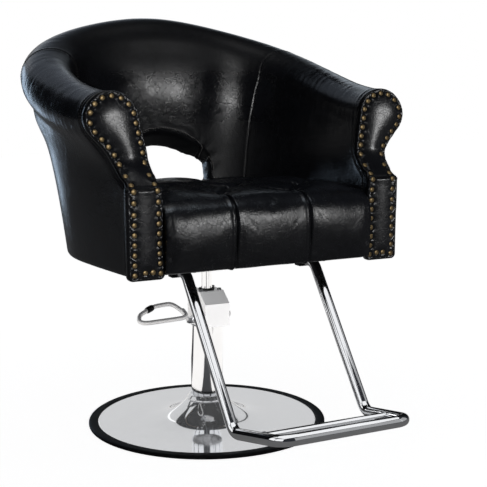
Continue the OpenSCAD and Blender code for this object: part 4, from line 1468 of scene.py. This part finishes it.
def build_head():
    """Chamfered block with a slot and ears for the pedal, a bore for the rod and a drain cap."""
    (_, front, low), (half, rear, top) = HEAD
    side = [(front, low + 6), (front, top - 27), (-30, top), (26, top), (rear, top - 14), (rear, low + 6),
            (34, low), (front + 24, low)]
    block = plain_object("head_block", *lofted([[[x, y, z] for y, z in side] for x in (-half, half)]))
    _, y, z = PEDAL_PIN
    cutters = [box_cutter("head_slot", (-half - 1, y - 10, z - 11), (-15, y + 10, z + 19)),
               bore_cutter("head_bore", 21, low - 1, top - 9),
               bore_cutter("head_neck", 20, top - 12, top + 9)]
    cut_away(block, cutters)
    head = finish_object("pump_head_block", baked(block, *cutters), HEAD_CHROME, "base", "pump_head")
    bevelled(head, 1.6)
    ears = [ear(y + s * 13 - 3, y + s * 13 + 3, -half + 4) for s in (-1, 1)]
    sharpen(make_object("pump_head_ears", *joined(ears), HEAD_CHROME, "base"))

    radius, start, reach = (CAP[1][2] - CAP[0][2]) / 2, CAP[0][0], CAP[1][0]
    middle = (CAP[0] + CAP[1]) / 2
    profile = [(0, 0), (radius, 0), (radius, 14.5), (radius - 0.5, 16), (radius - 2, 18.4),
               (radius - 4, 19.6), (0, reach - start)]
    points, faces = revolved(profile, 64)
    points = np.column_stack([points[:, 2] + start, points[:, 1] + middle[1], points[:, 0] + middle[2]])
    sharpen(make_object("head_side_cap", points, faces, CHROME, "base", "side_cap"))


# ---- Pedal ----
def build_pedal():
    x, y, z = PEDAL_PIN
    knots = [(x - 21, y, z), (x - 32, y + 6, z + 22), (-104, y + 24, z + 41), (-150, y + 24, z + 38),
             (-196, y + 6, z + 24), (ROD[0][0] + 2.9, y - 22, z + 12), (-190, y - 33, z + 12),
             (-96, y - 33, z + 15), (-80, y - 18, z + 17), (-83, y + 4, z + 27)]
    path = resampled(rounded_path(knots, 9, 10), 2.0)
    edges = np.stack([np.arange(len(path) - 1), np.arange(1, len(path))], 1)
    loose = np.ones(len(path))
    loose[[0, -1]] = 0
    path = relax(path, edges, 30, 0.5, loose)
    radius = 5.5
    bar = swept(*softened_ends(path, radius), 28)
    sharpen(make_object("pedal_bar", *bar, HEAD_CHROME, "pedal", "pedal_rod"))
    middle = mix(np.array(knots[4]), np.array(knots[3]), 0.7)
    near = np.argmin(np.linalg.norm(path - middle, axis=1))
    run = path[near - 5:near + 6]
    at = np.linspace(-1, 1, len(run))
    radii = radius + 2.4 - np.abs(at) ** 6 + 0.25 * np.cos((at + 1) * 7 * math.pi)
    make_object("pedal_sleeve", *swept(run, radii, 32), RUBBER, "pedal", "pedal_grip")


# ---- CAD nodes that stay in view ----
def finish_cad_nodes():
    finishes = {"chrome": CHROME, "steel": STEEL, "bronze": BRONZE, "black_rubber": RUBBER,
                "antique_brass": BRASS, "plywood": PLYWOOD, "black_cloth": CLOTH, "black_leather": LEATHER}
    for name, node in frame["nodes"].items():
        if node.hide_render:
            continue
        # rails, clamps and bolts under the seat take the near-black steel, painted shade under the cushion
        in_painted_shade = name in ("under_rails", "footrest_clamps", "clamp_bolts", "rail_bolts")
        node.data.materials.clear()
        node.data.materials.append(UNDER_SEAT_SHADE if in_painted_shade else finishes[SLOTS[name]])
        node.data.shade_smooth()
        sharpen(node, 32)


# ---- Studio ----
# The camera stands to the left of the chair's front; directions of lamps turn from its side
TOWARD_CAMERA = -115.6
MIRROR_REACH = 2.6


def group_of(name, objects):
    group = bpy.data.collections.new(name)
    for o in objects:
        group.objects.link(o)
    return group


def made_of(*materials):
    meshes = [o for o in bpy.context.scene.objects if o.type == "MESH"]
    return [o for o in meshes if any(m in materials for m in o.data.materials)]


def named(*names):
    return [bpy.data.objects[n] for n in names]


def build_floor():
    """Pale floor. The camera sees it bright; its reflection in the leather is kept low."""
    size, drop = 9000.0, 0.5
    corners = [(-size, -size, 0), (size, -size, 0), (size, size, 0), (-size, size, 0)]
    mesh = mesh_from("floor", corners, [(0, 1, 2, 3)])
    g = Graph("floor")
    seen = g.node("ShaderNodeLightPath").outputs["Is Camera Ray"]
    g.set(Base_Color=g.ramp(g.noise(2.0, 2.0), [(0.0, 0.86), (1.0, 0.9)]), Roughness=0.9,
          Emission_Strength=g.math("MULTIPLY", seen, 0.92), Emission_Color=(1.0, 1.0, 1.0, 1.0),
          Specular_IOR_Level=0.1)
    mesh.materials.append(g.material)
    floor = bpy.data.objects.new("floor", mesh)
    floor.location.z = -drop * MM
    bpy.context.scene.collection.objects.link(floor)


def lamp(name, group, place, aim, size, radiance, colour=(1, 1, 1), shape="RECTANGLE"):
    """Panel that lights one group of objects alone; its power follows from its brightness and area."""
    data = bpy.data.lights.new(name, "AREA")
    data.shape = shape
    data.size, data.size_y = size
    data.energy = radiance * math.pi * size[0] * size[1]
    data.color = colour
    light = bpy.data.objects.new(name, data)
    light.location = place
    light.rotation_euler = (Vector(aim) - Vector(place)).to_track_quat("-Z", "Y").to_euler()
    light.visible_camera = False
    light.light_linking.receiver_collection = group
    bpy.context.scene.collection.objects.link(light)
    return light


def seen_from(spot, azimuth, elevation):
    """Place of a lamp that lies in the given direction from a spot, azimuth 0 being the front."""
    a, e = math.radians(azimuth), math.radians(elevation)
    way_out = Vector((math.sin(a) * math.cos(e), -math.cos(a) * math.cos(e), math.sin(e)))
    return tuple(Vector(spot) + MIRROR_REACH * way_out)


def mirrored_place(obj, spot):
    """Place of a lamp that the camera sees mirrored at a spot of a piece."""
    points, normals = get_points(obj.data) * MM, get_normals(obj.data)
    spot = np.array(spot)
    view = unit(np.array(bpy.context.scene.camera.location) - spot)
    weight = bell(np.linalg.norm(points - spot, axis=1), 0.03) * (normals @ view > 0.15)
    facing = unit(weight @ normals)
    return tuple(spot + MIRROR_REACH * (2 * (facing @ view) * facing - view))


def light_tub():
    """Two soft round spots on the back, and a cool sheen over the left shoulder of the roll."""
    tub = bpy.data.objects["tub_leather"]
    group = group_of("tub", named("tub_leather", "tub_stitching", "opening_stitching", "opening_welt"))
    for name, spot, size, radiance in (("spot_middle", (0.045, 0.29, 0.832), (0.35, 0.32), 12),
                                       ("spot_right", (0.19, 0.247, 0.805), (1.1, 0.3), 9)):
        lamp(name, group, mirrored_place(tub, spot), spot, size, radiance, shape="ELLIPSE")
    spot = (-0.37, 0.17, 0.93)
    lamp("roll_sheen", group, mirrored_place(tub, spot), spot, (2.2, 1.6), 0.3, (0.72, 0.83, 1.0))


def light_seat():
    group = group_of("seat_only", named("seat_leather_cushion"))
    spot = (-0.1, -0.347, 0.575)
    lamp("seat_key", group, seen_from(spot, 27, 10), spot, (0.6, 0.5), 17)
    lamp("seat_top", group, seen_from(spot, 8, 70), spot, (1.2, 0.9), 3.6, (0.8, 0.9, 1.0))


def light_arm_fronts():
    """Each arm front mirrors one lamp in its scroll and one in its block; the nails have their own."""
    for side, sign in (("left", -1), ("right", 1)):
        panel = bpy.data.objects[side + "_arm_panel"]
        group = group_of(side + "_front", [panel])
        block_x = panel_edges(600.0)[0] + BLOCK_HALF_W
        for part, x, y, z, size, radiance in (("scroll", SCROLL_X - 6, SCROLL_Y, ROLL_LOW, (1.0, 0.5), 15),
                                              ("block", block_x, FRONT_Y, 600.0, (0.6, 0.42), 4.5)):
            spot = (sign * x * MM, y * MM, z * MM)
            lamp(f"{side}_{part}", group, mirrored_place(panel, spot), spot, size, radiance)
    nails = group_of("nail_heads", named("left_nail_heads", "right_nail_heads"))
    lamp("nail_fill", nails, (-0.7, -2.6, 1.5), (0, 0, 0.7), (2.0, 1.6), 1.9)


def light_outside():
    """Low panels behind give the cool sheen along the outside and the roll."""
    soft = group_of("soft_goods", made_of(LEATHER, PANEL_LEATHER, SEAT_LEATHER, THREAD, PALE_THREAD, RUBBER,
                                          BRASS, CLOTH, PLYWOOD))
    for name, place, aim, size, radiance, colour in (
            ("sheen_left", (-0.72, 2.9, 0.8), (-0.35, 0, 0.75), (0.6, 1.4), 2.1, (0.62, 0.79, 1.0)),
            ("sheen_right", (1.4, 2.3, 1.9), (0.2, 0, 0.9), (1.2, 1.0), 0.8, (0.8, 0.9, 1.0)),
            ("overhead", (0, -0.4, 3.2), (0, 0, 0), (1.2, 1.2), 0.9, (1, 1, 1)),
            ("rear_fill", (0.4, 3.3, 1.7), (0, 0, 0.7), (2.4, 1.2), 0.25, (1, 1, 1))):
        lamp(name, soft, place, aim, size, radiance, colour)


def panel_ring(name, group, turns, radiance, low, high=2.65, distance=3.0):
    """Tall panels round the chair, each turned by an angle from the camera's side."""
    for turn in turns:
        a, middle = math.radians(TOWARD_CAMERA + turn), (low + high) / 2
        place = (distance * math.cos(a), distance * math.sin(a), middle)
        lamp(f"{name}_{turn}", group, place, (0, 0, middle), (2.2, high - low), radiance)


def floor_panels(name, group, patches, radiance):
    """Bright patches of floor, each given by its reach towards the camera and to the camera's right."""
    turn = math.radians(TOWARD_CAMERA)
    ahead, right = Vector((math.cos(turn), math.sin(turn), 0)), Vector((-math.sin(turn), math.cos(turn), 0))
    for i, (near, far, first, last) in enumerate(patches):
        place = ahead * (near + far) / 2 + right * (first + last) / 2 + Vector((0, 0, 0.0001))
        size = (far - near, last - first)
        # it faces up, turned in line with the camera
        panel = lamp(f"{name}_floor_{i}", group, place, place, size, radiance, (1.0, 0.97, 0.93))
        panel.rotation_euler = (math.pi, 0, turn)


def light_metal():
    """Tubes keep dark outlines, the column two dark stripes; base and head are light all round."""
    bright = named("base_dish", "column_trim", "pump_head_block", "pump_head_ears", "pedal_bar")
    column = named("column_tube", "piston_rod")
    rest = [o for o in made_of(CHROME, HEAD_CHROME, STEEL, BRONZE, UNDER_SEAT_SHADE) if o not in bright + column]
    whole = [(-3, 3, -3, 3)]
    striped = [(-0.3, 3, -3, -0.2), (-3, -0.62, -3, 0), (-3, 3, 0.2, 3)]
    for name, objects, turns, radiance, low, ceiling, floor, patches in (
            ("bright", bright, (-140, -92, -46, 0, 52, 96, 140, 182), 0.76, -0.25, 0.8, 0.8, whole),
            ("column", column, (-140, -92, -46, 42, 86, 130, 174), 1.15, -0.25, 0.8, 1.15, striped),
            ("tubes", rest, (-84, -40), 1.15, 0.6, 1.1, 0.06, whole)):
        group = group_of(name, objects)
        panel_ring(name, group, turns, radiance, low)
        lamp(name + "_ceiling", group, (0, 0, 3.0), (0, 0, 0), (4.5, 4.5), ceiling)
        floor_panels(name, group, patches, floor)
    panel_ring("tubes_dim", bpy.data.collections["tubes"], (52, 88), 0.4, 0.3)
    head = group_of("head_only", named("pump_head_block", "pump_head_ears"))
    lamp("head_key", head, (-0.9, -2.0, 0.45), (0, 0, 0.3), (1.8, 0.8), 9)


def light_floor():
    data = bpy.data.lights.new("floor_light", "SUN")
    data.energy, data.angle = 0.25, math.radians(110)
    light = bpy.data.objects.new("floor_light", data)
    light.light_linking.receiver_collection = group_of("stage", made_of(bpy.data.materials["floor"]))
    bpy.context.scene.collection.objects.link(light)


def build_world():
    """Camera rays see plain white; everything else sees a dim, pale room, darkest behind the chair."""
    world = bpy.data.worlds.new("studio")
    bpy.context.scene.world = world
    world.use_nodes = True
    tree = world.node_tree
    tree.nodes.clear()
    out = tree.nodes.new("ShaderNodeOutputWorld")
    final = tree.nodes.new("ShaderNodeMixShader")
    path = tree.nodes.new("ShaderNodeLightPath")
    seen = tree.nodes.new("ShaderNodeBackground")
    seen.inputs["Color"].default_value = (1, 1, 1, 1)
    room = tree.nodes.new("ShaderNodeBackground")
    link = tree.links.new
    way = tree.nodes.new("ShaderNodeSeparateXYZ")
    link(tree.nodes.new("ShaderNodeTexCoord").outputs["Generated"], way.inputs[0])
    shade = tree.nodes.new("ShaderNodeMapRange")
    for name, value in (("From Min", 0.1), ("From Max", 0.6), ("To Min", 1.0), ("To Max", 0.15)):
        shade.inputs[name].default_value = value
    link(way.outputs["Y"], shade.inputs["Value"])
    room.inputs["Color"].default_value = (0.028, 0.03, 0.035, 1)
    link(shade.outputs[0], room.inputs["Strength"])
    link(path.outputs["Is Camera Ray"], final.inputs["Fac"])
    link(room.outputs[0], final.inputs[1])
    link(seen.outputs[0], final.inputs[2])
    link(final.outputs[0], out.inputs["Surface"])


def build_camera():
    data = bpy.data.cameras.new("camera")
    data.sensor_width = 36.0
    data.lens = 81.08
    camera = bpy.data.objects.new("camera", data)
    camera.location = (-1.1695, -2.4454, 0.8749)
    camera.rotation_euler = (math.radians(81.205), 0, math.radians(-27.532))
    bpy.context.scene.collection.objects.link(camera)
    bpy.context.scene.camera = camera


build_tub()
build_panel("right", 41)
build_panel("left", 57)
build_cushion()
build_footrest()
build_base()
build_head()
build_pedal()
finish_cad_nodes()
build_floor()
build_camera()
light_tub()
light_seat()
light_arm_fronts()
light_outside()
light_metal()
light_floor()
build_world()
bpy.context.scene.view_settings.view_transform = "Standard"
